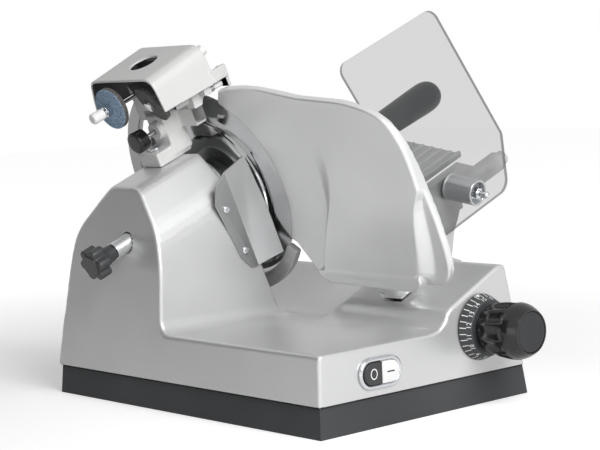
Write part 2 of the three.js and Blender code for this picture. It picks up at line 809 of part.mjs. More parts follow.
add(
  "bearing_housing",
  turned(
    "x",
    [
      [18, 146], [26, 146], [26, TOWER_FACE_K + GAP], [42, TOWER_FACE_K + GAP],
      [42, TOWER_FACE_K + 5], [24, TOWER_FACE_K + 8], [18, TOWER_FACE_K + 8],
    ],
    BLADE_Y,
    BLADE_M,
    32,
  ),
  machinedAluminium,
  inclined,
);
[[148, 158], [182, 192]].forEach(([from, to], i) =>
  add(
    "bearing_" + (i + 1),
    rod("x", 18 - GAP, from, to, BLADE_Y, BLADE_M, SHAFT_RADIUS + GAP),
    steel,
    inclined,
  ),
);

// Belt drive
const PULLEY_K = [126, 142];
add(
  "blade_pulley",
  rod("x", BLADE_PULLEY_RADIUS, PULLEY_K[0], PULLEY_K[1], BLADE_Y, BLADE_M, SHAFT_RADIUS + GAP, 40),
  machinedAluminium,
  inclined,
);
const beltLoop = (grow, from, to) => {
  const points = [];
  const circle = (y, m, radius) => {
    for (let i = 0; i < 40; i++) {
      const angle = (i / 40) * Math.PI * 2;
      const [cy, cm] = [y + radius * Math.cos(angle), m + radius * Math.sin(angle)];
      points.push(new THREE.Vector3(from, cy, cm), new THREE.Vector3(to, cy, cm));
    }
  };
  circle(BLADE_Y, BLADE_M, BLADE_PULLEY_RADIUS + grow);
  circle(MOTOR_Y, MOTOR_M, MOTOR_PULLEY_RADIUS + grow);
  return solid(new ConvexGeometry(points));
};
add(
  "drive_belt",
  cut(
    beltLoop(GAP + BELT_THICKNESS, PULLEY_K[0] + 1, PULLEY_K[1] - 1),
    beltLoop(GAP + 0.1, PULLEY_K[0] - 5, PULLEY_K[1] + 5),
  ),
  blackRubber,
  inclined,
);
add(
  "motor",
  cut(
    join(
      turned(
        "x",
        [[0, 66], [MOTOR_RADIUS - 5, 66], [MOTOR_RADIUS, 71], [MOTOR_RADIUS, 112], [MOTOR_RADIUS - 6, 121], [0, 121]],
        MOTOR_Y,
        MOTOR_M,
        32,
      ),
      box(120, 124.5, TOWER_FRONT_Y + WALL + GAP, 352, 28, 112),
    ),
    rod("x", 6 + GAP, 100, 130, MOTOR_Y, MOTOR_M, 0, 20),
  ),
  darkSteel,
  inclined,
);
add(
  "motor_pulley",
  join(
    rod("x", 6, 101, PULLEY_K[1] + 2, MOTOR_Y, MOTOR_M, 0, 20),
    rod("x", MOTOR_PULLEY_RADIUS, PULLEY_K[0], PULLEY_K[1], MOTOR_Y, MOTOR_M, 0, 28),
  ),
  steel,
  inclined,
);

// Ring guard round the open part of the blade
const RING_Y = BLADE_Y + 6;
const RING_K = [205, 214];
const ringShape = new THREE.Shape();
const ringFrom = radians(216);
const ringTo = radians(422);
ringShape.absarc(RING_Y, BLADE_M, 131, ringFrom, ringTo, false);
ringShape.absarc(BLADE_Y + 2.5, BLADE_M + 3, BLADE_RADIUS + 5.8, ringTo, ringFrom, true);
const ringLug = (angle) =>
  rod(
    "x",
    5,
    TOWER_FACE_K + GAP,
    RING_K[0] + 2,
    RING_Y + 124 * Math.cos(radians(angle)),
    BLADE_M + 124 * Math.sin(radians(angle)),
    0,
    14,
  );
add(
  "ring_guard",
  join(prism("x", ringShape, RING_K[0], RING_K[1], 26), ringLug(255), ringLug(318)),
  castAluminium,
  inclined,
);

// Slice deflector
const deflectorSheet = prism(
  "z",
  [[154, 238.7], [181, 238.7], [204.1, 218.5], [205.4, 220], [181.8, 240.7], [154, 240.7]].map(
    ([k, y]) => [k, y],
  ),
  60,
  210,
).intersect(
  prism("y", [[155.1, 161], [163.9, 179.2], [175.4, 184.8], [199.5, 198], [200.9, 196.2], [205.7, 112], [205.7, 81.4], [177.9, 74.7], [172, 77], [163.5, 92.9]], 200, 250),
);
add(
  "deflector",
  cut(
    deflectorSheet,
    ...DEFLECTOR_SCREWS.map(([k, m]) => rod("y", 2.2, 230, 250, k, m, 0, 12)),
  ),
  steel,
  inclined,
);
DEFLECTOR_SCREWS.forEach(([k, m], i) =>
  add(
    "deflector_screw_" + (i + 1),
    join(
      rod("y", 1.9, 236, 248, k, m, 0, 10),
      turned("y", [[0, 235.9], [3.4, 235.9], [4.6, 237], [4.6, 238.4], [0, 238.4]], k, m, 16),
    ),
    steel,
    inclined,
  ),
);

// Tie rod and its star knob on the left side
add(
  "star_knob",
  cut(
    join(
      prism("x", shift(lobes(6, 16.4, 2.4, 8), BLADE_Y, BLADE_M), 21, 37),
      rod("x", 12, 19.5, 30, BLADE_Y, BLADE_M),
      turned("x", [[0, 36], [13, 36], [8.5, 42], [8.5, 52], [0, 52]], BLADE_Y, BLADE_M),
    ),
    rod("x", TIE_ROD_RADIUS + GAP, 34, 60, BLADE_Y, BLADE_M),
  ),
  blackPlastic,
  inclined,
);
add(
  "tie_rod",
  rod("x", TIE_ROD_RADIUS, 35, BLADE_K - 1.6, BLADE_Y, BLADE_M, 0, 20),
  steel,
  inclined,
);
add(
  "tie_sleeve",
  rod("x", 9.5, 53, 78, BLADE_Y, BLADE_M, TIE_ROD_RADIUS + GAP),
  steel,
  inclined,
);

// Sharpener on top of the tower. Its heights are drawn for a seat at SEAT_M, and the group
// lifts them to the tower's top.
const SEAT_M = 211;
const seat = new THREE.Group();
seat.position.z = TOWER_TOP_M - SEAT_M;
inclined.add(seat);
const POST_AXIS = [178, 300];
const POST_R = 8;
const BRACKET_TOP = 262;
add(
  "sharpener_bracket",
  cut(
    join(
      box(143, 190, 290, 324, SEAT_M + GAP, 227),
      box(165, 192, 288, 316, 220, BRACKET_TOP),
      rod("x", 10, 158, 170, 300, 246.5),
      prism("x", [[292, 240], [262, 240], [252, 261], [292, 261]], 186, 201),
      rod("z", POST_R, 250, 286, ...POST_AXIS),
    ),
    rod("x", 2.5 + GAP, 150, 176, 300, 246.5, 0, 14),
    rod("z", 3 + GAP, 215, 240, 155, 307, 0, 14),
  ),
  paintedCast,
  seat,
);
add(
  "clamp_knob",
  join(
    rod("x", 12, 128, 141.5, 300, 246.5, 0, 32),
    rod("x", 2.5, 140, 174, 300, 246.5, 0, 14),
  ),
  blackPlastic,
  seat,
);
add(
  "eccentric_screw",
  cut(
    join(
      rod("z", 7, 227 + GAP, 229.8, 155, 307),
      rod("z", 3, 216, 228, 155, 307, 0, 14),
    ),
    box(147, 163, 306.2, 307.8, 228.8, 232),
  ),
  steel,
  seat,
);
const COVER_K = [136.5, 212];
const HOOD_RISE = 0.084;
const coverTop = (k) => 317 + HOOD_RISE * (k - COVER_K[0]);
const wheel1 = [130, 317, 288];
const wheel2 = new THREE.Vector3(150, 272.5, 284);
const hone = new THREE.Vector3(0.908, -0.22, 0.359).normalize();
const honeTurn = new THREE.Matrix4().makeTranslation(wheel2).multiply(
  new THREE.Matrix4().makeRotationFromQuaternion(
    new THREE.Quaternion().setFromUnitVectors(new THREE.Vector3(1, 0, 0), hone),
  ),
);
const alongHone = (body) => moved(body, honeTurn);
const PUSH = 3;
const headPillar = prism(
  "y",
  [[166, 290], [192, 290], [192, coverTop(192) - 3 - GAP], [166, coverTop(166) - 3 - GAP]],
  258,
  279,
);
const headWall = prism(
  "y",
  [[186, 290], [192, 290], [192, coverTop(192) - 3 - GAP], [186, coverTop(186) - 3 - GAP]],
  258,
  326,
);
const headLeg = join(
  prism("y", [[184, 261.4], [195, 261.4], [197.5, 266], [205, 271], [205, 283], [184, 283]], 251, 262),
  box(195, 205, 241, 252, 271, 283),
);
add(
  "sharpener_head",
  cut(
    join(
      box(166, 192, 258, 328, 268, 298),
      box(166, 192, 316.5, 328, 257, 270),
      headPillar,
      headWall,
      headLeg,
    ),
    rod("z", POST_R + GAP, 260, 288, ...POST_AXIS),
    rod("x", 3 + GAP, 160, 177, wheel1[1], wheel1[2], 0, 16),
    alongHone(rod("x", 3 + GAP, -5, 80, 0, 0, 0, 16)),
  ),
  paintedCast,
  seat,
);
const coverOuter = [
  [236, 279], [238.6, 293], [240.6, 305], [243.6, 312], [250, 316.4], [258, 317],
  [340, 317], [347, 315.5], [350.6, 311], [352.4, 304], [355.6, 293], [358, 279],
];
const coverInner = [
  [239.1, 279], [241.6, 293], [243.5, 304.2], [246, 310], [251, 313.5], [258, 314],
  [340, 314], [345.6, 312.8], [347.8, 309.4], [349.4, 303.4], [352.5, 292.6], [354.9, 279],
];
const coverRing = (k, outline) =>
  outline.map(([y, m]) => new THREE.Vector3(k, y, m + (m > 280 ? HOOD_RISE * (k - COVER_K[0]) : 0)));
const coverSection = [...coverOuter, ...coverInner.slice().reverse()];
add(
  "sharpener_cover",
  cut(
    join(
      lofted([coverRing(COVER_K[0], coverSection), coverRing(COVER_K[1], coverSection)]),
      prism("x", [[236, 279], [237.7, 292], [240.7, 292], [239.1, 279]], 209, 230),
      box(226, 230, 236.5, 249, 268, 291),
    ),
    rod("z", 15.5, 310, 340, 175, 297, 0, 32),
  ),
  paintedCast,
  seat,
);
const WHEEL_RADIUS = 23;
add(
  "grinding_wheel",
  rod("x", WHEEL_RADIUS, 127, 133, wheel1[1], wheel1[2], 3 + GAP, 32),
  gritStone,
  seat,
);
add(
  "grind_shaft",
  join(
    rod("x", 3, 106, 172, wheel1[1], wheel1[2], 0, 16),
    rod("x", 9, 133 + GAP, 136, wheel1[1], wheel1[2], 0, 20),
    rod("x", 6.5, 119.5, 127 - GAP, wheel1[1], wheel1[2], 0, 6),
  ),
  steel,
  seat,
);
add(
  "grind_button",
  cut(
    turned("x", [[0, 101], [4.5, 101], [6, 102.5], [6, 116], [0, 116]], wheel1[1], wheel1[2], 20),
    rod("x", 3 + GAP, 105.7, 120, wheel1[1], wheel1[2], 0, 16),
  ),
  whitePlastic,
  seat,
);
add(
  "honing_wheel",
  alongHone(rod("x", WHEEL_RADIUS, -3, 3, 0, 0, 3 + GAP, 32)),
  honeStone,
  seat,
);
add(
  "hone_shaft",
  alongHone(
    join(
      rod("x", 3, -7, 79.5, 0, 0, 0, 16),
      rod("x", 9, 3 + GAP, 6, 0, 0, 0, 20),
      rod("x", 6.5, -7, -3 - GAP, 0, 0, 0, 6),
    ),
  ),
  steel,
  seat,
);
add(
  "hone_button",
  alongHone(
    cut(
      turned("x", [[0, 70.5], [6, 70.5], [6, 80.5], [4.5, 82], [0, 82]], 0, 0, 20),
      rod("x", 3 + GAP, 66, 79.8, 0, 0, 0, 16),
    ),
  ),
  whitePlastic,
  seat,
);

// Carriage slide inside the base
const SLIDER_Y = [ARM_Y[0], ARM_Y[0] + 70];
const RAIL_TOP = 38;
add(
  "carriage_rod",
  rod("y", ROD_RADIUS, 4.5, 416.6, ROD_X, ROD_Z),
  steel,
  machine,
);
add(
  "carriage_rail",
  box(ROD_X - 4, ROD_X + 4, 4.2, 420, 31.6, RAIL_TOP),
  darkSteel,
  machine,
);
add(
  "carriage_slider",
  cut(
    box(ROD_X - 12, ROD_X + 13 - GAP, SLIDER_Y[0], SLIDER_Y[1], 35.5, 65.5),
    rod("y", ROD_RADIUS + GAP, 80, 180, ROD_X, ROD_Z),
    box(ROD_X - 4 - GAP, ROD_X + 4 + GAP, 80, 180, 30, RAIL_TOP + GAP),
  ),
  machinedAluminium,
  machine,
);

// Carriage arm: an upright in the machine frame, the bracket and the bar seat in the tilted frame
const ARM_OUTLINE = [
  [276, 45], [312, 45], [312, 62], [301, 137], [301.5, 146], [301, 168], [305, 180],
  [309, 203], [297, 230], [262, 216], [272, 162], [284, 137], [296, 62], [276, 60],
];
const BRACKET_V = [GUARD_V + GUARD_THICKNESS / 2 + GAP, GUARD_V + GUARD_THICKNESS / 2 + 6];
const SEAT_K = [290, 311];
const BAR_RADIUS = 8;
const armUpright = fromMachine(prism("y", ARM_OUTLINE, ARM_Y[0], ARM_Y[1]));
const BOSS_K = 343.5;
const BOSS_W = 75;
const STUD_RADIUS = 3;
const PUSHER_STRIP_V = [112.5, 136.5];
const PUSHER_STRIP_W = [62.5, 70];
const armBody = cut(
  join(
    armUpright,
    box(285, 362, BRACKET_V[0], BRACKET_V[1], 38, 86),
    box(SEAT_K[0], SEAT_K[1], BRACKET_V[0], 141, 33, 61.5),
    box(SEAT_K[0], SEAT_K[1], 138.5, 172, 40, TRAY_W - 5 - GAP),
  ),
  box(200, 500, 0, GUARD_V + GUARD_THICKNESS / 2 + GAP, -8, 300),
  box(SEAT_K[1], 500, BRACKET_V[1] + 0.5, 300, 32, 300),
  box(200, SEAT_K[1] + 1, BRACKET_V[1] + 0.5, 138.3, 61.5, 300),
  box(200, 500, 138.3, 200, TRAY_W - 5 - GAP, 300),
  rod("x", BAR_RADIUS + GAP, 250, 480, BAR_V, BAR_W),
  rod("y", STUD_RADIUS + GAP, 90, 130, BOSS_K, BOSS_W, 0, 14),
);
add("carriage_arm", armBody, castAluminium, carriage);


// Food tray with ribs along the shaft direction
const TRAY_V = [143, 300];
const TRAY_K = [220, TRAY_RIGHT_K];
const RIB_PITCH = 13.4;
const trayOutline = [[TRAY_V[0], TRAY_W - 5], [TRAY_V[0], TRAY_W + 2], [TRAY_V[0] + 3, TRAY_W + 2]];
for (let v = TRAY_V[0] + 8; v < TRAY_V[1] - 8; v += RIB_PITCH)
  trayOutline.push([v, TRAY_W - 1], [v + 4.5, TRAY_W - 1], [v + 6.7, TRAY_W + 0.6], [v + 8.9, TRAY_W - 1]);
trayOutline.push([TRAY_V[1], TRAY_W - 1], [TRAY_V[1], TRAY_W - 5]);
add("product_tray", prism("x", trayOutline, TRAY_K[0], TRAY_K[1]), castAluminium, carriage);

// Pusher: bar, sliding collar with its arm, plate with spikes, handle
add("pusher_bar", rod("x", BAR_RADIUS, 286, 463, BAR_V, BAR_W), steel, carriage);
const COLLAR_K = [386, 452];
const PLATE_K = [300, 306];
add(
  "pusher_collar",
  cut(
    join(
      rod("x", 11.5, COLLAR_K[0], COLLAR_K[1], BAR_V, BAR_W),
      box(COLLAR_K[0], COLLAR_K[0] + 12, PUSHER_STRIP_V[0], PUSHER_STRIP_V[1], BAR_W, PUSHER_STRIP_W[1]),
      box(PLATE_K[1] + GAP, COLLAR_K[0] + 12, PUSHER_STRIP_V[0], PUSHER_STRIP_V[1], PUSHER_STRIP_W[0], PUSHER_STRIP_W[1]),
      box(PLATE_K[1] + GAP, PLATE_K[1] + 8, PUSHER_STRIP_V[0] + 2, PUSHER_STRIP_V[1], PUSHER_STRIP_W[0], 99),
    ),
    rod("x", BAR_RADIUS + GAP, 300, 480, BAR_V, BAR_W),
  ),
  darkSteel,
  carriage,
);
const spike = (v, w) => turned("x", [[0, PLATE_K[0] - 6], [2.6, PLATE_K[0] + 1], [0, PLATE_K[0] + 1]], v, w, 8);
const spikes = [];
for (const v of [150, 180, 210, 238]) for (const w of [104, 128, 150]) spikes.push(spike(v, w));
add(
  "pusher_plate",
  join(
    prism("x", [[115, 90], [246, 90], [250, 94], [250, 168], [246, 172], [160, 172], [153, 164]], PLATE_K[0], PLATE_K[1]),
    ...spikes,
  ),
  castAluminium,
  carriage,
);
const HANDLE_V = 170;
const HANDLE_W = 142.5;
add(
  "pusher_handle",
  turned(
    "x",
    [[0, PLATE_K[1] + GAP], [15, PLATE_K[1] + GAP], [15, 330], [17, 392], [17, 402], [15.6, 409.5], [12.2, 415], [6.6, 418.2], [0, 419]],
    HANDLE_V,
    HANDLE_W,
    28,
  ),
  darkGrip,
  carriage,
);

// Clear hand guard, its stud, boss and nut
const GUARD_FOLD_W = 92;
const GUARD_LEAN = 28.5;
const GUARD_HEIGHT = 157;
const guardFront = GUARD_V - GUARD_THICKNESS / 2;
const guardBack = GUARD_V + GUARD_THICKNESS / 2;
const lean = [Math.sin(radians(GUARD_LEAN)), Math.cos(radians(GUARD_LEAN))];
const guardTip = [GUARD_V + GUARD_HEIGHT * lean[0], GUARD_FOLD_W + GUARD_HEIGHT * lean[1]];
const half = GUARD_THICKNESS / 2;
const guardSection = [
  [guardFront, 24],
  [guardBack, 24],
  [guardBack, GUARD_FOLD_W - 0.5],
  [guardTip[0] + half * lean[1], guardTip[1] - half * lean[0]],
  [guardTip[0] - half * lean[1], guardTip[1] + half * lean[0]],
  [guardFront, GUARD_FOLD_W + 0.5],
];
const guardFace = new THREE.Shape();
const rounded = (shape, points) => {
  const at = (i) => points[(i + points.length) % points.length];
  points.forEach(([x, y, r], i) => {
    const corner = new THREE.Vector2(x, y);
    const before = new THREE.Vector2(...at(i - 1).slice(0, 2)).sub(corner).setLength(r || 1e-3).add(corner);
    const after = new THREE.Vector2(...at(i + 1).slice(0, 2)).sub(corner).setLength(r || 1e-3).add(corner);
    if (i === 0) shape.moveTo(before.x, before.y);
    else shape.lineTo(before.x, before.y);
    if (r) shape.quadraticCurveTo(x, y, after.x, after.y);
    else shape.lineTo(x, y);
  });
  shape.closePath();
};
rounded(guardFace, [
  [285, 24, 14], [437, 24, 14], [440, GUARD_FOLD_W, 0], [443, guardTip[1] + 1, 14], [285, guardTip[1] + 1, 14],
]);
add(
  "hand_guard",
  cut(
    prism("x", guardSection, 280, 450).intersect(prism("y", guardFace, 60, 260, 5)),
    rod("y", STUD_RADIUS + GAP, 90, 130, BOSS_K, BOSS_W, 0, 14),
  ),
  clearAcrylic,
  carriage,
);
const BOSS_FRONT_V = 63.5;
const BOSS_RECESS = 8;
add(
  "stud_boss",
  turned(
    "y",
    [
      [STUD_RADIUS + GAP, guardFront - GAP], [15.4, guardFront - GAP], [14.2, guardFront - 3],
      [14.2, BOSS_FRONT_V], [11.4, BOSS_FRONT_V],
      [11.4, BOSS_FRONT_V + BOSS_RECESS], [STUD_RADIUS + GAP, BOSS_FRONT_V + BOSS_RECESS],
    ],
    BOSS_K,
    BOSS_W,
    28,
  ),
  steel,
  carriage,
);
const BALL_V = 53.2;
const BALL_RADIUS = 4.4;
const ballProfile = Array.from({ length: 8 }, (_, i) => {
  const angle = (i / 9) * Math.PI;
  return [BALL_RADIUS * Math.sin(angle), BALL_V - BALL_RADIUS * Math.cos(angle)];
});
add(
  "guard_stud",
  join(
    turned(
      "y",
      [...ballProfile, [STUD_RADIUS, BALL_V + 4.1], [STUD_RADIUS, BRACKET_V[1] + 1], [0, BRACKET_V[1] + 1]],
      BOSS_K,
      BOSS_W,
      16,
    ),
    rod("y", 6.2, BOSS_FRONT_V - 1.5, BOSS_FRONT_V + BOSS_RECESS - GAP, BOSS_K, BOSS_W, 0, 6),
  ),
  steel,
  carriage,
);

export default root;
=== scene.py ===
# %% [markdown]
# # A meat slicer, piece by piece
# The slicer is a pale aluminium casting on a dark skirt. A round blade leans on a tower, a food
# carriage slides past it, and a sharpener sits on top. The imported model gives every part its
# place, and this lesson gives every part its finish. New shapes are surfaces worked out with
# numpy, because a formula on a grid gives clean curves and an even mesh.

import bmesh
import bpy
import numpy as np
from mathutils import Matrix, Vector


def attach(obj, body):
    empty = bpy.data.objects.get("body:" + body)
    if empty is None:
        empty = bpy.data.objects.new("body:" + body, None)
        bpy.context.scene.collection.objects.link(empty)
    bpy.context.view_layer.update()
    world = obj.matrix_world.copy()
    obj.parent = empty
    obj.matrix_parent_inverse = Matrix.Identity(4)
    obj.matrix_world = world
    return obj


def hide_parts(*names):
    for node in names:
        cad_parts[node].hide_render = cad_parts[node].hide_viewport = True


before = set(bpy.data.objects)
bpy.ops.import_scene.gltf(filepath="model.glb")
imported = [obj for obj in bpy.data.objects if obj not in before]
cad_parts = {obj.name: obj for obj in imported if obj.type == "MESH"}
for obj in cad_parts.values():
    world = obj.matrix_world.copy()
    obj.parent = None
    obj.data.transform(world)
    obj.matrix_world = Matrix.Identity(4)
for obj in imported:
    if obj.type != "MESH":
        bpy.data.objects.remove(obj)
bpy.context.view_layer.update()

# %% [markdown]
# ## Three frames
# The machine frame has its zero at the front left bottom corner of the skirt, in millimetres.
# The blade's shaft climbs to the right at 22.6 degrees, so the blade side is easier to describe
# in a frame turned by that angle. The food tray also tips towards the operator by 11 degrees,
# which gives a third frame. Each piece is computed where it is simplest, then turned.

# %% Frames
SKIRT_SIZE = (299.0, 426.0)
SKIRT_MIDDLE = np.array([SKIRT_SIZE[0] / 2, SKIRT_SIZE[1] / 2, 0.0])
INCLINE = np.radians(22.6)
TILT = np.radians(11.0)
SHAFT_WAY = np.array([np.cos(INCLINE), 0.0, np.sin(INCLINE)])
BACK_WAY = np.array([0.0, 1.0, 0.0])
BLADE_UP = np.array([-np.sin(INCLINE), 0.0, np.cos(INCLINE)])
INCLINED = np.stack([SHAFT_WAY, BACK_WAY, BLADE_UP])
TILTED = np.stack(
    [
        SHAFT_WAY,
        np.cos(TILT) * BACK_WAY + np.sin(TILT) * BLADE_UP,
        -np.sin(TILT) * BACK_WAY + np.cos(TILT) * BLADE_UP,
    ]
)
MACHINE = np.eye(3)


def to_row(points, axes=MACHINE):
    """Millimetre points in a frame become metres in the row frame: a turn, a shift and a scale."""
    return (np.asarray(points, float) @ axes - SKIRT_MIDDLE) / 1000.0


print("shaft way:", SHAFT_WAY.round(4))

# %% [markdown]
# ## The camera
# The photograph was taken from the front left with a long lens. The camera stands 1.5 m away and
# looks slightly down, with a field of view of about 20 degrees.

# %% Camera
LENS_PIXELS = 1724.56
camera_place = to_row([-1080.57, -1173.28, 345.27])
camera_right = Vector((0.73756008, -0.67410748, -0.03980246))
camera_down = Vector((-0.08850721, -0.03806825, -0.99534782))
camera_ahead = Vector((0.6694562, 0.73765162, -0.087741))
lens = bpy.data.cameras.new("camera")
lens.sensor_width = 36.0
lens.lens = 36.0 * LENS_PIXELS / 600.0
lens.clip_end = 30.0
camera = bpy.data.objects.new("camera", lens)
bpy.context.collection.objects.link(camera)
turn = Matrix((camera_right, -camera_down, -camera_ahead)).transposed().to_4x4()
camera.matrix_world = Matrix.Translation(Vector(camera_place)) @ turn
bpy.context.scene.camera = camera
print("lens:", round(lens.lens, 1), "mm")

# %% [markdown]
# ## Light and floor
# A studio white comes from the world, which is bright for the camera and for reflections, and
# dimmer as a light. A large soft box in front gives the front its brightness, a weak one low on
# the left lifts the faces that look down, and a dark card keeps the left side in soft shade, as
# in the photograph. The card is there for light and reflections only, so it never stands in a
# view's way. The floor takes the object's shadow and glows a little more far away, so that no
# horizon shows.

# %% Nodes
def add_node(tree, kind, plugs=(), **settings):
    """A shader node with its settings, whose inputs take numbers or other nodes' outputs."""
    node = tree.nodes.new("ShaderNode" + kind)
    for key, value in settings.items():
        setattr(node, key, value)
    for name, value in dict(plugs).items():
        if isinstance(value, bpy.types.NodeSocket):
            tree.links.new(value, node.inputs[name])
        else:
            node.inputs[name].default_value = value
    return node


# %% World
scene = bpy.context.scene
scene.view_settings.view_transform = "Standard"
FILL_STRENGTH = 0.2
GLOSSY_SHARE = 0.8


def studio_rays(tree):
    """One for camera and transmission rays, a share for glossy rays, nought for the rest."""
    path = add_node(tree, "LightPath").outputs
    part = add_node(tree, "Math", {0: path["Is Glossy Ray"], 1: GLOSSY_SHARE}, operation="MULTIPLY")
    first = add_node(tree, "Math", {0: path["Is Camera Ray"], 1: part.outputs[0]}, operation="ADD")
    plugs = {0: first.outputs[0], 1: path["Is Transmission Ray"]}
    return add_node(tree, "Math", plugs, operation="ADD", use_clamp=True).outputs[0]


world = bpy.data.worlds.new("studio")
scene.world = world
world.use_nodes = True
world_tree = world.node_tree
world_tree.nodes.clear()
fill_light = add_node(world_tree, "Background", {"Strength": FILL_STRENGTH}).outputs[0]
white_wall = add_node(world_tree, "Background", {"Color": (1, 1, 1, 1), "Strength": 1.0}).outputs[0]
world_mix = add_node(world_tree, "MixShader", {0: studio_rays(world_tree), 1: fill_light, 2: white_wall})
add_node(world_tree, "OutputWorld", {"Surface": world_mix.outputs[0]})
print("world fill:", FILL_STRENGTH)

# %% A shader
def shader(name, slot, colour, roughness, metallic=0.0, specular=0.5):
    """A material with a principled shader whose whole-surface numbers sit on its sockets."""
    material = bpy.data.materials.new(name)
    material.use_nodes = True
    material["slot"] = slot
    principled = material.node_tree.nodes["Principled BSDF"]
    principled.inputs["Base Color"].default_value = (*colour, 1)
    principled.inputs["Roughness"].default_value = roughness
    principled.inputs["Metallic"].default_value = metallic
    principled.inputs["Specular IOR Level"].default_value = specular
    return material, principled


# %% Lamp and floor
KEY_POWER = 42.0
LOW_POWER = 3.0


def area_lamp(name, place, aim, size, power):
    """A square soft box at a place in metres, turned towards its aim."""
    lamp = bpy.data.lights.new(name, "AREA")
    lamp.size = size
    lamp.energy = power
    lamp_object = bpy.data.objects.new(name, lamp)
    bpy.context.collection.objects.link(lamp_object)
    lamp_object.location = place
    way = Vector(aim) - Vector(place)
    lamp_object.rotation_euler = way.to_track_quat("-Z", "Y").to_euler()
    return lamp_object


def stage_sheet(name, corners, material):
    """A flat four-cornered sheet that belongs to the studio and not to the object."""
    mesh = bpy.data.meshes.new(name)
    mesh.from_pydata([tuple(c) for c in corners], [], [(0, 1, 2, 3)])
    mesh.materials.append(material)
    sheet = bpy.data.objects.new(name, mesh)
    bpy.context.collection.objects.link(sheet)
    return sheet


FLOOR_COLOUR = (0.85, 0.85, 0.85, 1)
FLOOR_GLOW = (0.42, 0.84)
FLOOR_GLOW_REACH = (0.35, 1.3)
floor_material = bpy.data.materials.new("floor")
floor_material.use_nodes = True
floor_tree = floor_material.node_tree
floor_tree.nodes.clear()
floor_paint = add_node(floor_tree, "BsdfDiffuse", {"Color": FLOOR_COLOUR})
floor_place = add_node(floor_tree, "TexCoord").outputs["Object"]
floor_distance = add_node(floor_tree, "VectorMath", {0: floor_place}, operation="LENGTH")
reach = dict(zip(("From Min", "From Max", "To Min", "To Max"), (*FLOOR_GLOW_REACH, *FLOOR_GLOW)))
glow_reach = add_node(floor_tree, "MapRange", {"Value": floor_distance.outputs["Value"], **reach})
plugs = {0: studio_rays(floor_tree), 1: glow_reach.outputs["Result"]}
glow_strength = add_node(floor_tree, "Math", plugs, operation="MULTIPLY")
floor_glow = add_node(floor_tree, "Emission", {"Strength": glow_strength.outputs[0]})
floor_sum = add_node(floor_tree, "AddShader", {0: floor_paint.outputs[0], 1: floor_glow.outputs[0]})
add_node(floor_tree, "OutputMaterial", {"Surface": floor_sum.outputs[0]})
stage_sheet("floor", [(-6, -6, 0), (6, -6, 0), (6, 6, 0), (-6, 6, 0)], floor_material)
KEY_PLACE = (-0.45, -1.75, 1.25)
LOW_PLACE = (-1.7, -0.8, 0.22)
area_lamp("key", KEY_PLACE, (0, 0, 0.15), 1.1, KEY_POWER)
area_lamp("low_left", LOW_PLACE, (0, 0, 0.2), 0.9, LOW_POWER)
card_material, _ = shader("dark_card", "card", (0.04, 0.04, 0.04), 0.9)
card_corners = [(-1.3, -0.3, 0), (-1.3, 2.4, 0), (-1.3, 2.4, 1.5), (-1.3, -0.3, 1.5)]
dark_card = stage_sheet("dark_card", card_corners, card_material)
dark_card.visible_camera = False
dark_card.visible_transmission = False
print("key lamp:", KEY_POWER, "W")

# %% [markdown]
# ## Mesh helpers
# Every new piece goes through one helper, which merges doubled points, turns the faces outwards,
# marks the sharp edges and ties the piece to its body. Grids of points come with their faces
# from one formula, so no piece is built point by point.

# %% Pieces
def read_rows(items, name):
    """Three numbers for each item of a mesh's points or faces, as rows."""
    flat = np.empty(len(items) * 3)
    items.foreach_get(name, flat)
    return flat.reshape(-1, 3)


def finish_mesh(mesh, sharp_degrees):
    """Merges doubled points, turns faces outwards and shades smooth up to the given angle."""
    work = bmesh.new()
    work.from_mesh(mesh)
    bmesh.ops.remove_doubles(work, verts=work.verts, dist=1e-6)
    bmesh.ops.dissolve_degenerate(work, edges=work.edges, dist=1e-7)
    bmesh.ops.recalc_face_normals(work, faces=work.faces)
    work.to_mesh(mesh)
    work.free()
    mesh.polygons.foreach_set("use_smooth", np.ones(len(mesh.polygons), bool))
    mesh.set_sharp_from_angle(angle=np.radians(sharp_degrees))


def place_piece(name, mesh, material, body, nodes=()):
    """Links a mesh as an object at the origin, rides it on a body and hides what it stands for."""
    thing = bpy.data.objects.new(name, mesh)
    bpy.context.collection.objects.link(thing)
    mesh.materials.append(material)
    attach(thing, body)
    if nodes:
        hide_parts(*nodes)
    return thing


def piece(name, points, faces, material, body, nodes=(), axes=MACHINE, sharp=35.0):
    """A mesh object from millimetre points in a frame and a list or array of faces."""
    mesh = bpy.data.meshes.new(name)
    face_list = faces.tolist() if isinstance(faces, np.ndarray) else faces
    mesh.from_pydata(to_row(points, axes).tolist(), [], face_list)
    finish_mesh(mesh, sharp)
    thing = place_piece(name, mesh, material, body, nodes)
    print(name, len(mesh.polygons), "faces")
    return thing


def grid_faces(rows, columns, close_rows=False, close_columns=False):
    """Squares between neighbours on a grid of rows x columns points, joined round if closed."""
    r = np.arange(rows if close_rows else rows - 1)
    c = np.arange(columns if close_columns else columns - 1)
    r, c = np.meshgrid(r, c, indexing="ij")
    r2 = (r + 1) % rows
    c2 = (c + 1) % columns
    corners = [r * columns + c, r * columns + c2, r2 * columns + c2, r2 * columns + c]
    return np.stack(corners, -1).reshape(-1, 4)


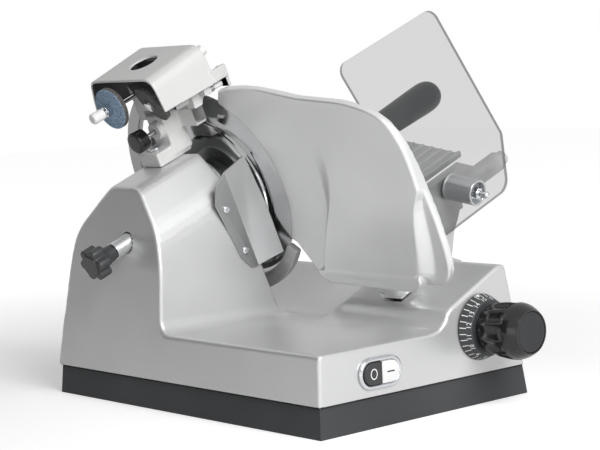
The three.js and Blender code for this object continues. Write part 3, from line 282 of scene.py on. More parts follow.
def soften(outline, radius, steps=5, closed=True):
    """Each corner becomes a quadratic curve between a point before it and a point after it."""
    p = np.asarray(outline, float)
    radii = np.array(np.broadcast_to(radius, len(p)), float)
    before = np.roll(p, 1, 0) - p
    after = np.roll(p, -1, 0) - p
    length_before = np.linalg.norm(before, axis=1)
    length_after = np.linalg.norm(after, axis=1)
    reach = np.minimum(radii, 0.49 * np.minimum(length_before, length_after))
    if not closed:
        reach[0] = 0.0
        reach[-1] = 0.0
    a = p + before * (reach / length_before)[:, None]
    b = p + after * (reach / length_after)[:, None]
    s = np.linspace(0, 1, steps)[None, :, None]
    curve = (1 - s) ** 2 * a[:, None] + 2 * s * (1 - s) * p[:, None] + s**2 * b[:, None]
    flat = curve.reshape(-1, 2)
    gap = np.linalg.norm(flat - np.roll(flat, 1, 0), axis=1)
    keep = gap > 1e-5
    if not closed:
        keep[0] = True
    return flat[keep]


def inset(outline, distance):
    """Moves a closed counter-clockwise outline inwards by a distance, along its corner bisectors."""
    p = np.asarray(outline, float)
    ahead = np.roll(p, -1, 0) - p
    ahead /= np.linalg.norm(ahead, axis=1)[:, None]
    behind = np.roll(ahead, 1, 0)
    normal = np.stack([-ahead[:, 1] - behind[:, 1], ahead[:, 0] + behind[:, 0]], 1)
    normal /= np.linalg.norm(normal, axis=1)[:, None]
    across = np.stack([-ahead[:, 1], ahead[:, 0]], 1)
    share = np.clip((normal * across).sum(1), 0.4, 1.0)
    return p + normal * (distance / share)[:, None]


def counter_clockwise(outline):
    """Turns an outline round if its signed area, half the sum of cross products, is negative."""
    p = np.asarray(outline, float)
    q = np.roll(p, -1, 0)
    area = (p[:, 0] * q[:, 1] - q[:, 0] * p[:, 1]).sum()
    return p if area > 0 else p[::-1]


def along(axis, flat, height):
    """Three coordinates from two flat ones and a height along the x, y or z axis."""
    h = np.broadcast_to(height, flat.shape[:-1])
    a, b = flat[..., 0], flat[..., 1]
    order = {"x": (h, a, b), "y": (a, h, b), "z": (a, b, h)}[axis]
    return np.stack(order, -1)


def quarter(edge, steps):
    """How far a rim is drawn in and how high it is along a quarter circle of the given radius."""
    angle = np.linspace(0, np.pi / 2, steps)
    return edge * (1 - np.sin(angle)), edge * (1 - np.cos(angle))


def slab_shape(axis, outline, low, high, edge, steps=4):
    """A plate with rounded rims: the outline at several heights, drawn in by a quarter circle."""
    base = counter_clockwise(outline)
    drawn, lift = quarter(edge, steps)
    insets = np.concatenate([drawn, drawn[::-1]])
    heights = np.concatenate([low + lift, (high - lift)[::-1]])
    rings = np.stack([along(axis, inset(base, d), h) for d, h in zip(insets, heights)])
    count = len(base)
    faces = grid_faces(len(rings), count, close_columns=True).tolist()
    faces.append(list(range(count)))
    faces.append(list(range((len(rings) - 1) * count, len(rings) * count)))
    return rings.reshape(-1, 3), faces


def turned_shape(axis, profile, a, b, segments=96, closed=False):
    """A profile of (radius, height) points turned about an axis through (a, b)."""
    profile = np.asarray(profile, float)
    angle = np.linspace(0, 2 * np.pi, segments, endpoint=False)
    flat = np.stack([a + profile[:, :1] * np.cos(angle), b + profile[:, :1] * np.sin(angle)], -1)
    points = along(axis, flat, profile[:, 1:])
    faces = grid_faces(len(profile), segments, close_rows=closed, close_columns=True)
    return points.reshape(-1, 3), faces.tolist()


def turned(
    name, profile, spot, material, body, nodes=(), axis="x", segments=96, closed=False, axes=INCLINED,
    sharp=35.0,
):
    """A piece turned about an axis through a spot across it, along the shaft unless told."""
    shape = turned_shape(axis, profile, *spot, segments, closed)
    return piece(name, *shape, material, body, nodes, axes, sharp)


def together(*shapes):
    """Several shapes as one: the faces of each are moved on by the points before it."""
    points, faces, start = [], [], 0
    for shape_points, shape_faces in shapes:
        points.append(np.asarray(shape_points, float))
        faces += [[i + start for i in face] for face in shape_faces]
        start += len(shape_points)
    return np.concatenate(points), faces


# %% [markdown]
# ## Castings from distance fields
# A casting has a soft radius on every edge and a fillet in every corner. A distance field gives
# both: solids are numbers that are negative inside, and a smooth minimum or maximum joins them
# with a fillet. The surface where the field is nought is then drawn as an even net of squares.

# %% Fields
BLEND_PER_RADIUS = 1.17


def fillet_join(a, b, radius):
    """Smooth minimum of two fields, which fills the corner between them by about the radius."""
    k = BLEND_PER_RADIUS * radius
    h = np.clip(0.5 + 0.5 * (b - a) / k, 0, 1)
    return b + (a - b) * h - k * h * (1 - h)


def round_meet(a, b, radius):
    """Smooth maximum of two fields, which rounds the edge where they meet."""
    return -fillet_join(-a, -b, radius)


def polygon_field(u, v, outline):
    """Distance to a closed outline, negative inside: nearest edge, signed by crossings."""
    p = np.asarray(outline, float)
    q = np.roll(p, -1, 0)
    nearest = np.full(np.broadcast(u, v).shape, 1e18)
    inside = np.zeros(nearest.shape, bool)
    for (px, py), (qx, qy) in zip(p, q):
        ex, ey = qx - px, qy - py
        wx, wy = u - px, v - py
        t = np.clip((wx * ex + wy * ey) / (ex * ex + ey * ey), 0, 1)
        nearest = np.minimum(nearest, (wx - ex * t) ** 2 + (wy - ey * t) ** 2)
        if ey != 0:
            crosses = ((py > v) != (qy > v)) & (u < ex * (v - py) / ey + px)
            inside ^= crosses
    return np.where(inside, -1, 1) * np.sqrt(nearest)


def box_field(x, y, z, low, high, radius=0.0):
    """Distance to a box with rounded edges: outside part plus inside part, less the radius."""
    parts = []
    for value, a, b in zip((x, y, z), low, high):
        parts.append(np.abs(value - (a + b) / 2) - (b - a) / 2 + radius)
    outside = np.sqrt(sum(np.maximum(part, 0) ** 2 for part in parts))
    inner = np.minimum(np.maximum(np.maximum(parts[0], parts[1]), parts[2]), 0)
    return outside + inner - radius


def rod_field(h, a, b, start, end, centre_a, centre_b, radius, edge=0.0):
    """Distance to a round bar: radial and lengthwise parts joined with a rounded edge."""
    radial = np.hypot(a - centre_a, b - centre_b) - radius + edge
    length = np.abs(h - (start + end) / 2) - (end - start) / 2 + edge
    outside = np.hypot(np.maximum(radial, 0), np.maximum(length, 0))
    return outside + np.minimum(np.maximum(radial, length), 0) - edge


# %% The net
NET_SLIDES = 3
LEAST_SLOPE = 0.05
SLOPE_REACH = 0.05


def draw_net(field, low, high, step):
    """One point per crossed cell, at the mean of its edge crossings, and a square per crossed
    edge. The points are then slid down the field's slope until the field is nought there."""
    low = np.asarray(low, float)
    count = np.ceil((np.asarray(high) - low) / step).astype(int) + 1
    ticks = [low[i] + step * np.arange(count[i]) for i in range(3)]
    grid = np.meshgrid(*ticks, indexing="ij", sparse=True)
    values = field(*np.broadcast_arrays(*grid)).astype(np.float32)
    total = int(np.prod(count))
    strides = np.array([count[1] * count[2], count[2], 1])
    sums = np.zeros((3, total))
    hits = np.zeros(total)
    edges = []
    for axis in range(3):
        head = [slice(None)] * 3
        tail = [slice(None)] * 3
        head[axis] = slice(0, -1)
        tail[axis] = slice(1, None)
        a = values[tuple(head)]
        b = values[tuple(tail)]
        where = np.argwhere((a < 0) != (b < 0))
        va = a[tuple(where.T)].astype(float)
        vb = b[tuple(where.T)].astype(float)
        side, other = (axis + 1) % 3, (axis + 2) % 3
        safe = (where[:, side] > 0) & (where[:, other] > 0)
        where, va, vb = where[safe], va[safe], vb[safe]
        spot = low + step * where
        spot[:, axis] += step * va / (va - vb)
        cell = where @ strides
        corners = [
            cell - strides[side] - strides[other],
            cell - strides[other],
            cell,
            cell - strides[side],
        ]
        for corner in corners:
            hits += np.bincount(corner, minlength=total)
            for i in range(3):
                sums[i] += np.bincount(corner, weights=spot[:, i], minlength=total)
        quads = np.stack(corners, 1)
        quads[va > 0] = quads[va > 0][:, ::-1]
        edges.append(quads)
    used = np.flatnonzero(hits)
    number = np.full(total, -1)
    number[used] = np.arange(len(used))
    points = (sums[:, used] / hits[used]).T
    faces = number[np.concatenate(edges)]
    for _ in range(NET_SLIDES):
        value, slope = field_slope(field, points)
        move = (value / np.maximum((slope**2).sum(1), LEAST_SLOPE))[:, None] * slope
        reach = np.linalg.norm(move, axis=1)[:, None]
        points = points - move * np.minimum(1, 0.5 * step / np.maximum(reach, 1e-9))
    value, slope = field_slope(field, points)
    normals = slope / np.linalg.norm(slope, axis=1)[:, None]
    return points, faces, normals


def field_slope(field, points):
    """The field at points and its slope, from differences between points a little apart."""
    reach = SLOPE_REACH
    x, y, z = points.T
    value = field(x, y, z)
    slope = np.stack(
        [
            field(x + reach, y, z) - field(x - reach, y, z),
            field(x, y + reach, z) - field(x, y - reach, z),
            field(x, y, z + reach) - field(x, y, z - reach),
        ],
        1,
    ) / (2 * reach)
    return value, slope


def casting(name, field, low, high, step, material, body, nodes=(), axes=MACHINE):
    """A piece drawn from a field, shaded with the field's own slope so that fillets stay soft."""
    points, faces, normals = draw_net(field, low, high, step)
    mesh = bpy.data.meshes.new(name)
    mesh.from_pydata(to_row(points, axes).tolist(), [], faces.tolist())
    mesh.polygons.foreach_set("use_smooth", np.ones(len(faces), bool))
    mesh.normals_split_custom_set_from_vertices((normals @ axes).tolist())
    thing = place_piece(name, mesh, material, body, nodes)
    print(name, len(faces), "faces")
    return thing


# %% A second finish
def second_finish(thing, material, choose, axes=MACHINE):
    """Gives a finish to the faces a rule picks from their middles and outward ways in a frame."""
    mesh = thing.data
    mesh.materials.append(material)
    spots = (read_rows(mesh.polygons, "center") * 1000.0 + SKIRT_MIDDLE) @ axes.T
    picked = choose(spots, read_rows(mesh.polygons, "normal") @ axes.T)
    mesh.polygons.foreach_set("material_index", picked.astype(np.int32))
    print(thing.name, int(picked.sum()), "faces with a second finish")


# %% [markdown]
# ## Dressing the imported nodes
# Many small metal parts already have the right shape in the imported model, but their edges are
# knife sharp. A copy of such a node is merged, its edges get a small bevel that catches the
# light, and the copy stands for the node.

# %% Dressing
FLAT_DEGREES = 0.6
BEVEL_ANGLE = np.radians(30.0)


def dress(node, material, body, width, segments=2):
    """A merged copy of a node with a bevel of the given width in millimetres on its edges."""
    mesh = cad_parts[node].data.copy()
    mesh.name = node + "_dressed"
    mesh.materials.clear()
    work = bmesh.new()
    work.from_mesh(mesh)
    bmesh.ops.remove_doubles(work, verts=work.verts, dist=1e-6)
    flat = np.radians(FLAT_DEGREES)
    bmesh.ops.dissolve_limit(work, angle_limit=flat, verts=work.verts, edges=work.edges)
    work.to_mesh(mesh)
    work.free()
    mesh.polygons.foreach_set("use_smooth", np.ones(len(mesh.polygons), bool))
    mesh.set_sharp_from_angle(angle=BEVEL_ANGLE)
    thing = place_piece(mesh.name, mesh, material, body, [node])
    bevel = thing.modifiers.new("edges", "BEVEL")
    bevel.width = width / 1000.0
    bevel.segments = segments
    bevel.limit_method = "ANGLE"
    bevel.angle_limit = BEVEL_ANGLE
    bevel.harden_normals = True
    print(thing.name, "bevel", width, "mm")
    return thing


# %% [markdown]
# ## Metals
# The body of the machine is blasted and anodised aluminium: pale, satin and very finely grained.
# Its colour comes from a diffuse share and its softness from the roughness, with two sizes of
# noise for the grain and for the faint clouds of a real casting. Machined and steel parts are
# smoother and more metallic, and the blade stretches its reflections across its turning marks.

# %% Material helpers
def noise(material, scale, stretch=(1, 1, 1), detail=3.0):
    """Noise on object coordinates in metres; the scale is waves per metre, stretched by axis."""
    tree = material.node_tree
    place = add_node(tree, "TexCoord").outputs["Object"]
    mapping = add_node(tree, "Mapping", {"Vector": place, "Scale": stretch})
    plugs = {"Vector": mapping.outputs["Vector"], "Scale": scale, "Detail": detail}
    return add_node(tree, "TexNoise", plugs).outputs["Fac"]


RAMP_ENDS = (0.35, 0.65)
ROUGHNESS_SWING = 0.06


def ramp(material, value, low, high):
    """Colours between two ends as a value climbs from the ramp's start to its end."""
    colours = add_node(material.node_tree, "ValToRGB", {"Fac": value})
    for element, position, colour in zip(colours.color_ramp.elements, RAMP_ENDS, (low, high)):
        element.position = position
        element.color = (*colour, 1)
    return colours.outputs["Color"]


def spread(material, value, low, high):
    """A number between two ends as a value climbs from nought to one."""
    plugs = {"Value": value, "To Min": low, "To Max": high}
    return add_node(material.node_tree, "MapRange", plugs).outputs["Result"]


def bump(material, principled, height, strength, distance):
    """A bump of the given depth in metres from a height."""
    plugs = {"Height": height, "Strength": strength, "Distance": distance}
    raised = add_node(material.node_tree, "Bump", plugs)
    material.node_tree.links.new(raised.outputs["Normal"], principled.inputs["Normal"])


def grained(
    name, slot, dark, light, roughness, metallic, grain, cloud=9.0, depth=0.00004, specular=0.5,
    stretch=(1, 1, 1), strength=0.35,
):
    """A finish with slow clouds of colour, fine grain in the roughness and a shallow bump."""
    middle = tuple((a + b) / 2 for a, b in zip(dark, light))
    material, principled = shader(name, slot, middle, roughness, metallic, specular)
    links = material.node_tree.links
    clouds = noise(material, cloud, detail=2.0)
    links.new(ramp(material, clouds, dark, light), principled.inputs["Base Color"])
    fine = noise(material, grain, stretch=stretch, detail=4.0)
    rough = spread(material, fine, roughness - ROUGHNESS_SWING, roughness + ROUGHNESS_SWING)
    links.new(rough, principled.inputs["Roughness"])
    bump(material, principled, fine, strength, depth)
    return material


# %% Metals
cast_finish = grained(
    "cast_aluminium", "cast_aluminium", (0.60, 0.602, 0.604), (0.64, 0.642, 0.644), 0.38, 0.5, 1500.0
)
# The gauge plate's copy of the cast aluminium is lighter: painted light, for the light thrown up from
# the floor and the tray.
gauge_painted_light_finish = grained(
    "gauge_casting_painted_light", "cast_aluminium", (0.72, 0.723, 0.726), (0.77, 0.773, 0.776), 0.34, 0.5, 1500.0
)
# The ring guard's copy of the cast aluminium is darker: painted shade.
ring_painted_shade_finish = grained(
    "ring_casting_painted_shade", "cast_aluminium", (0.46, 0.462, 0.464), (0.50, 0.502, 0.504), 0.36, 0.5, 1500.0
)
machined_finish = grained(
    "machined_aluminium", "machined_aluminium", (0.60, 0.605, 0.61), (0.66, 0.665, 0.67), 0.3, 0.8, 900.0
)
sheet_finish = grained(
    "deflector_sheet", "polished_steel", (0.34, 0.342, 0.345), (0.38, 0.382, 0.385), 0.32, 0.6, 700.0
)
steel_finish = grained(
    "polished_steel", "polished_steel", (0.62, 0.64, 0.66), (0.68, 0.70, 0.72), 0.14, 1.0, 700.0,
    depth=0.00001, strength=0.2,
)
blade_finish = grained(
    "blade_steel", "polished_steel", (0.42, 0.425, 0.43), (0.50, 0.505, 0.51), 0.11, 1.0, 500.0,
    depth=0.00001, strength=0.15,
)
blade_shader = blade_finish.node_tree.nodes["Principled BSDF"]
blade_shader.inputs["Anisotropic"].default_value = 0.6
around_way = add_node(blade_finish.node_tree, "Attribute", attribute_name="around")
blade_finish.node_tree.links.new(around_way.outputs["Vector"], blade_shader.inputs["Tangent"])
hub_finish = grained(
    "blade_hub", "polished_steel", (0.07, 0.072, 0.075), (0.11, 0.112, 0.115), 0.34, 0.7, 700.0
)
boss_finish = grained(
    "boss_steel", "polished_steel", (0.46, 0.47, 0.48), (0.52, 0.53, 0.54), 0.3, 0.85, 900.0
)
dark_steel_finish = grained(
    "dark_steel", "dark_steel", (0.10, 0.105, 0.11), (0.15, 0.155, 0.16), 0.38, 0.8, 600.0
)
brass_finish = grained("brass", "brass", (0.42, 0.27, 0.10), (0.50, 0.33, 0.13), 0.34, 0.95, 700.0)
painted_finish = grained(
    "painted_casting", "painted_casting", (0.62, 0.618, 0.612), (0.66, 0.658, 0.652), 0.42, 0.05, 800.0,
    depth=0.00004,
)
print("metals and paint ready")

# %% [markdown]
# ## Plastics and rubber
# Moulded plastics differ mostly in gloss. The thickness knob and the screw knob are glossy
# black, the dial and the knob's cap are duller, the star knob is a soft dark grey, and the pusher
# handle is turned plastic with fine rings. The skirt is a grained dark plastic, the guard is a
# clear sheet with a fuller rim, and the stones are coarse and dull.

# %% Plastics and stones
black_finish = grained(
    "black_plastic", "black_plastic", (0.010, 0.010, 0.011), (0.015, 0.015, 0.016), 0.16, 0.0, 500.0,
    depth=0.000004, strength=0.15, specular=0.45,
)
cap_finish = grained(
    "knob_cap_plastic", "black_plastic", (0.020, 0.021, 0.023), (0.028, 0.029, 0.031), 0.48, 0.0, 900.0,
    depth=0.00001, specular=0.3,
)
soft_black_finish = grained(
    "soft_black_plastic", "black_plastic", (0.030, 0.031, 0.033), (0.042, 0.043, 0.045), 0.42, 0.0,
    900.0, depth=0.00003,
)
skirt_finish = grained(
    "skirt_plastic", "black_rubber", (0.030, 0.033, 0.036), (0.042, 0.045, 0.048), 0.65, 0.0, 1800.0,
    depth=0.0001, strength=0.5,
)
grip_finish = grained(
    "turned_grip", "dark_grip", (0.060, 0.062, 0.064), (0.085, 0.087, 0.089), 0.36, 0.1, 420.0,
    stretch=(9, 0.4, 0.4), depth=0.00006,
)
white_finish = grained(
    "white_plastic", "white_plastic", (0.80, 0.80, 0.79), (0.84, 0.84, 0.83), 0.35, 0.0, 500.0,
    depth=0.00001,
)
grit_finish = grained(
    "grinding_stone", "grit_stone", (0.13, 0.22, 0.34), (0.38, 0.48, 0.60), 0.85, 0.0, 1100.0,
    cloud=620.0, depth=0.0003, strength=0.8,
)
hone_finish = grained(
    "honing_stone", "hone_stone", (0.045, 0.044, 0.043), (0.15, 0.147, 0.143), 0.85, 0.0, 1100.0,
    cloud=620.0, depth=0.0003, strength=0.8,
)
mark_finish = grained(
    "white_marks", "white_plastic", (0.82, 0.82, 0.82), (0.88, 0.88, 0.88), 0.5, 0.0, 900.0,
    depth=0.00001,
)
dial_finish = grained(
    "dial_plastic", "black_plastic", (0.032, 0.034, 0.036), (0.040, 0.042, 0.045), 0.45, 0.0, 900.0,
    depth=0.00001,
)
dark_mark_finish = grained(
    "dark_marks", "black_plastic", (0.03, 0.03, 0.032), (0.045, 0.045, 0.047), 0.5, 0.0, 900.0,
    depth=0.00001,
)


def clear_shader(name, grey, opacity, roughness):
    """A see-through sheet: a dark shader whose alpha lets most of the light by."""
    material, principled = shader(name, "clear_polycarbonate", grey, roughness)
    principled.inputs["Alpha"].default_value = opacity
    fine = noise(material, 900.0, detail=1.0)
    colours = ramp(material, fine, grey, tuple(g * 1.05 for g in grey))
    material.node_tree.links.new(colours, principled.inputs["Base Color"])
    return material


clear_finish = clear_shader("clear_sheet", (0.055, 0.056, 0.058), 0.19, 0.12)
clear_edge_finish = clear_shader("clear_sheet_edge", (0.16, 0.163, 0.167), 0.7, 0.2)
# A near-black finish that is painted shade, for the hood's inside and the head's faces under it.
painted_shade_finish = grained(
    "painted_shade_interior", "painted_casting", (0.030, 0.030, 0.031), (0.042, 0.042, 0.043), 0.6, 0.0, 800.0,
    depth=0.00004,
)
print("plastics ready")

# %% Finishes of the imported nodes
NODE_FINISH = {
    "bottom_plate": dark_steel_finish,
    "cord_gland": soft_black_finish,
    "switch_block": soft_black_finish,
    "spindle_bush": brass_finish,
    "thickness_spindle": steel_finish,
    "gauge_carrier": machined_finish,
    "gauge_frame": dark_steel_finish,
    "gauge_seal": white_finish,
    "blade_shaft": hub_finish,
    "bearing_housing": machined_finish,
    "bearing_1": steel_finish,
    "bearing_2": steel_finish,
    "blade_pulley": machined_finish,
    "drive_belt": skirt_finish,
    "motor": dark_steel_finish,
    "motor_pulley": steel_finish,
    "tie_rod": steel_finish,
    "carriage_rod": steel_finish,
    "carriage_rail": dark_steel_finish,
    "carriage_slider": machined_finish,
}


def wear(node, material):
    """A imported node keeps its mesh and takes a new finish."""
    for material_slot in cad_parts[node].material_slots:
        material_slot.material = material


for node_name, node_finish in NODE_FINISH.items():
    wear(node_name, node_finish)
print("packed nodes dressed:", len(NODE_FINISH))

# %% [markdown]
# ## The housing
# The housing is one hollow aluminium casting: a low slice tray, a sloping block on the right and
# a tower with the motor. It could be boxes with bevels, but the fillet where the tower meets the
# tray and the soft edges are what make it a casting, so it is drawn from a distance field.

# %% Housing sizes
SEAM_Z = 30.9
WALL = 5.0
BLADE_Y = 299.5
BLADE_M = 157.2
BLADE_K = 216.0
TOWER_FACE_K = 188.0
KNOB_X = 226.6
KNOB_Z = 79.7
BUTTON_X = 79.3
BUTTON_Z = 54.4
LEFT = (1.6, 3.2)
FRONT = (1.6, 1.5)
BACK = (427.6, 10.5)
RIGHT = (294.0, 12.4)
HIGH_PROFILE = [
    (-30, 81), (152, 81), (166, 83.4), (175.5, 91), (179, 99.5), (186, 104.4), (259, 138.6),
    (266, 139.6), (330, 139.6),
]
LOW_PROFILE = [
    (-30, 81), (178, 81), (186, 81.2), (192, 81.8), (197, 84), (203, 88), (259, 125), (266, 126),
    (330, 126),
]
TOWER_OUTLINE = [
    (241, -90), (241, 132.2), (247, 165.2), (280, 211), (325, 211), (336, 205),
    (382, 172), (393, 160), (400, 144), (407, 120), (429, 24), (429, -90),
]


def smooth_profile(profile, reach):
    """Heights on a fine row of x, averaged over a short reach so that the corners turn softly."""
    x = np.arange(-40.0, 340.0, 0.25)
    z = np.interp(x, *np.array(profile, float).T)
    window = np.hanning(int(reach / 0.25) | 1)
    padded = np.pad(z, len(window) // 2, mode="edge")
    return x, np.convolve(padded, window / window.sum(), mode="valid")


PROFILE_X, HIGH_Z = smooth_profile(HIGH_PROFILE, 9.0)
LOW_Z = smooth_profile(LOW_PROFILE, 12.0)[1]
HIGH_SLOPE = np.gradient(HIGH_Z, PROFILE_X)
LOW_SLOPE = np.gradient(LOW_Z, PROFILE_X)
TOWER_SOFT = soften(TOWER_OUTLINE, [0, 16, 22, 10, 14, 14, 16, 16, 16, 16, 0, 0], steps=5)
print("tower outline:", len(TOWER_SOFT), "points")


# %% Housing field
def fall(y, start, end):
    """A share that goes from one to nought between two depths, with level ends."""
    t = np.clip((end - y) / (end - start), 0, 1)
    return t * t * (3 - 2 * t)


def base_top(x, y):
    """Height of the base's upper side and how steep it is: two profiles mixed along the depth."""
    share = fall(y, 147, 188)
    height = np.interp(x, PROFILE_X, LOW_Z) * (1 - share) + np.interp(x, PROFILE_X, HIGH_Z) * share
    low_slope = np.interp(x, PROFILE_X, LOW_SLOPE)
    slope = low_slope * (1 - share) + np.interp(x, PROFILE_X, HIGH_SLOPE) * share
    return height, np.sqrt(1 + slope**2)


def drafted_sides(x, y, z, edge):
    """Distance to four sides, each with its foot and its lean in degrees, with a rounded edge."""
    rise = z - SEAM_Z
    sides = []
    for outward, foot, degrees in ((-x, *LEFT), (x, *RIGHT), (-y, *FRONT), (y, *BACK)):
        lean = np.radians(degrees)
        sides.append((outward - foot + rise * np.tan(lean)) * np.cos(lean))
    left, right, front, back = sides
    across = round_meet(left, right, edge)
    return round_meet(across, round_meet(front, back, edge), edge)


def to_inclined(x, z):
    """Machine x and z as K along the shaft and m across it: a turn by the incline."""
    return x * np.cos(INCLINE) + z * np.sin(INCLINE), z * np.cos(INCLINE) - x * np.sin(INCLINE)


def housing_body(x, y, z):
    """Base and tower joined with a fillet, before the leaning sides trim them."""
    height, steepness = base_top(x, y)
    k, m = to_inclined(x, z)
    tower = round_meet(polygon_field(y, m, TOWER_SOFT), k - TOWER_FACE_K, 3.0)
    return fillet_join((z - height) / steepness, tower, 13.0)


def housing_field(x, y, z):
    """Outside less inside less the openings, all as one field.

    The openings are for the blade's bearing, the tie sleeve, the dial's spindle, the switch, the
    gauge's post, the carriage's arm and the cord gland, in that order."""
    body = housing_body(x, y, z)
    sides = drafted_sides(x, y, z, 3.5)
    outer = round_meet(round_meet(body, sides, 3.4), SEAM_Z - z, 1.0)
    inner = np.maximum(body, sides) + WALL
    k, m = to_inclined(x, z)
    openings = [
        rod_field(k, y, m, 176, 200, BLADE_Y, BLADE_M, 26.4),
        rod_field(k, y, m, 40, 86, BLADE_Y, BLADE_M, 9.8),
        rod_field(y, x, z, -10, 12, KNOB_X, KNOB_Z, 8.4),
        box_field(x, y, z, (55.3, -10, 41.6), (103.3, 12, 67.2), 12.0),
        box_field(k, y, m, (215.4, 75, 12), (241.6, 93, 40)),
        box_field(x, y, z, (277, 86, 41), (309, 344, 64), 3.0),
        rod_field(y, x, z, 396, 440, 60, 50, 9.3),
    ]
    hollow = inner
    for opening in openings:
        hollow = np.minimum(hollow, opening)
    return np.maximum(outer, -hollow)


# %% Housing
casting(
    "housing_casting", housing_field, (-6, -6, 28), (300, 432, 262), 2.9, cast_finish, "base",
    ["housing"],
)

# %% [markdown]
# ## Skirt
# The dark skirt is a moulded plastic frame that tapers a little. Its outside corner edges are
# slightly rounded and its face has a fine grain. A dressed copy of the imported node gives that.

# %% Skirt and outlines
dress("base_skirt", skirt_finish, "base", 0.9)


def oblong(half_width, half_height, x, z, steps=20):
    """Two half circles joined by straight sides."""
    angle = np.linspace(-np.pi / 2, np.pi / 2, steps)
    reach = half_width - half_height
    right = np.stack([x + reach + half_height * np.cos(angle), z + half_height * np.sin(angle)], 1)
    left = np.stack([x - reach - half_height * np.cos(angle), z - half_height * np.sin(angle)], 1)
    return np.concatenate([right, left])


def ring_shape(axis, outer, inner, low, high, edge, steps=4):
    """A frame between two outlines of equally many points, with a rounded front rim."""
    drawn, lift = quarter(edge, steps)
    outer = counter_clockwise(outer)
    inner = counter_clockwise(inner)
    loops = [along(axis, outer, high)]
    loops += [along(axis, inset(outer, d), low + h) for d, h in zip(drawn[::-1], lift[::-1])]
    loops += [along(axis, inset(inner, -d), low + h) for d, h in zip(drawn, lift)]
    loops += [along(axis, inner, high)]
    rings = np.stack(loops)
    faces = grid_faces(len(rings), len(outer), close_rows=True, close_columns=True)
    return rings.reshape(-1, 3), faces.tolist()


# %% [markdown]
# ## The double push-button
# A chrome-bright ring frames two buttons, a dark one with a ring for off and a white one with a
# bar for on. The buttons are slabs with a rounded rim cut along the middle, and their marks are
# thin raised shapes.

# %% Switch
BEZEL_OUTER = oblong(29, 15.3, BUTTON_X, BUTTON_Z)
BEZEL_INNER = oblong(24.4, 11.2, BUTTON_X, BUTTON_Z)
COLLAR = oblong(25.6, 12.4, BUTTON_X, BUTTON_Z)
BUTTON_DEPTHS = (-5.4, 8.4)
MARK_DEPTHS = (-5.5, -5.2)
MARK_SHIFT = 11.5
piece(
    "switch_frame",
    *together(
        ring_shape("y", BEZEL_OUTER, BEZEL_INNER, -4.2, -1.7, 1.6),
        ring_shape("y", COLLAR, BEZEL_INNER, -2.4, 11.7, 0.2),
    ),
    steel_finish,
    "base",
    ["switch_bezel"],
)


def half_button(sign):
    """Half of the button's oblong on one side of its middle, a little short of the middle line."""
    full = counter_clockwise(oblong(23.9, 10.8, BUTTON_X, BUTTON_Z, steps=28))
    keep = full[(full[:, 0] - BUTTON_X) * sign > 0]
    middle = BUTTON_X + 0.15 * sign
    order = np.argsort(np.arctan2(keep[:, 1] - BUTTON_Z, (keep[:, 0] - middle) * sign))
    arc = keep[order]
    return np.concatenate([[[middle, BUTTON_Z - 10.8]], arc, [[middle, BUTTON_Z + 10.8]]])


off_shape = slab_shape("y", half_button(-1), *BUTTON_DEPTHS, 0.9)
piece("off_cap", *off_shape, soft_black_finish, "off_push", ["off_button"])
on_shape = slab_shape("y", half_button(1), *BUTTON_DEPTHS, 0.9)
piece("on_cap", *on_shape, white_finish, "on_push", ["on_button"])
off_place = (BUTTON_X - MARK_SHIFT, BUTTON_Z)
turn_angle = np.linspace(0, 2 * np.pi, 48, endpoint=False)
circle = np.stack([np.cos(turn_angle), np.sin(turn_angle)], 1)
off_outer = circle * [4.6, 5.4] + off_place
off_inner = circle * [3.5, 4.3] + off_place
ring_mark = ring_shape("y", off_outer, off_inner, *MARK_DEPTHS, 0.05)
piece("off_ring_mark", *ring_mark, mark_finish, "off_push")
bar = np.array([(-5.0, -0.7), (5.0, -0.7), (5.0, 0.7), (-5.0, 0.7)])
bar += [BUTTON_X + MARK_SHIFT, BUTTON_Z]
piece("on_bar_mark", *slab_shape("y", bar, *MARK_DEPTHS, 0.05), dark_mark_finish, "on_push")

# %% [markdown]
# ## Thickness knob and dial
# The knob is a long glossy grip: narrow at the dial, swelling towards the hand, with flutes that
# fade out before the rounded end, and a flat cap. Its radius is a curve of the length less a
# cosine flute, so it is a grid in angle and length. The dial behind it is a cone that carries
# white figures and ticks, each laid on the slope.

# %% Knob
KNOB_BACK = -15.4
KNOB_LENGTH = 53.6
KNOB_FRONT = KNOB_BACK - KNOB_LENGTH
KNOB_SHARES = [0, 0.045, 0.27, 0.545, 0.727, 0.818, 0.92, 0.977, 1.0]
KNOB_RADII = [22.2, 24.6, 27.8, 29.3, 29.0, 27.9, 25.3, 23.2, 22.3]
KNOB_FLUTES = 11
FLUTE_DEPTH = 3.1
FLUTE_RISE = 0.1
FLUTE_END = 0.70
FLUTE_FADE = 0.12


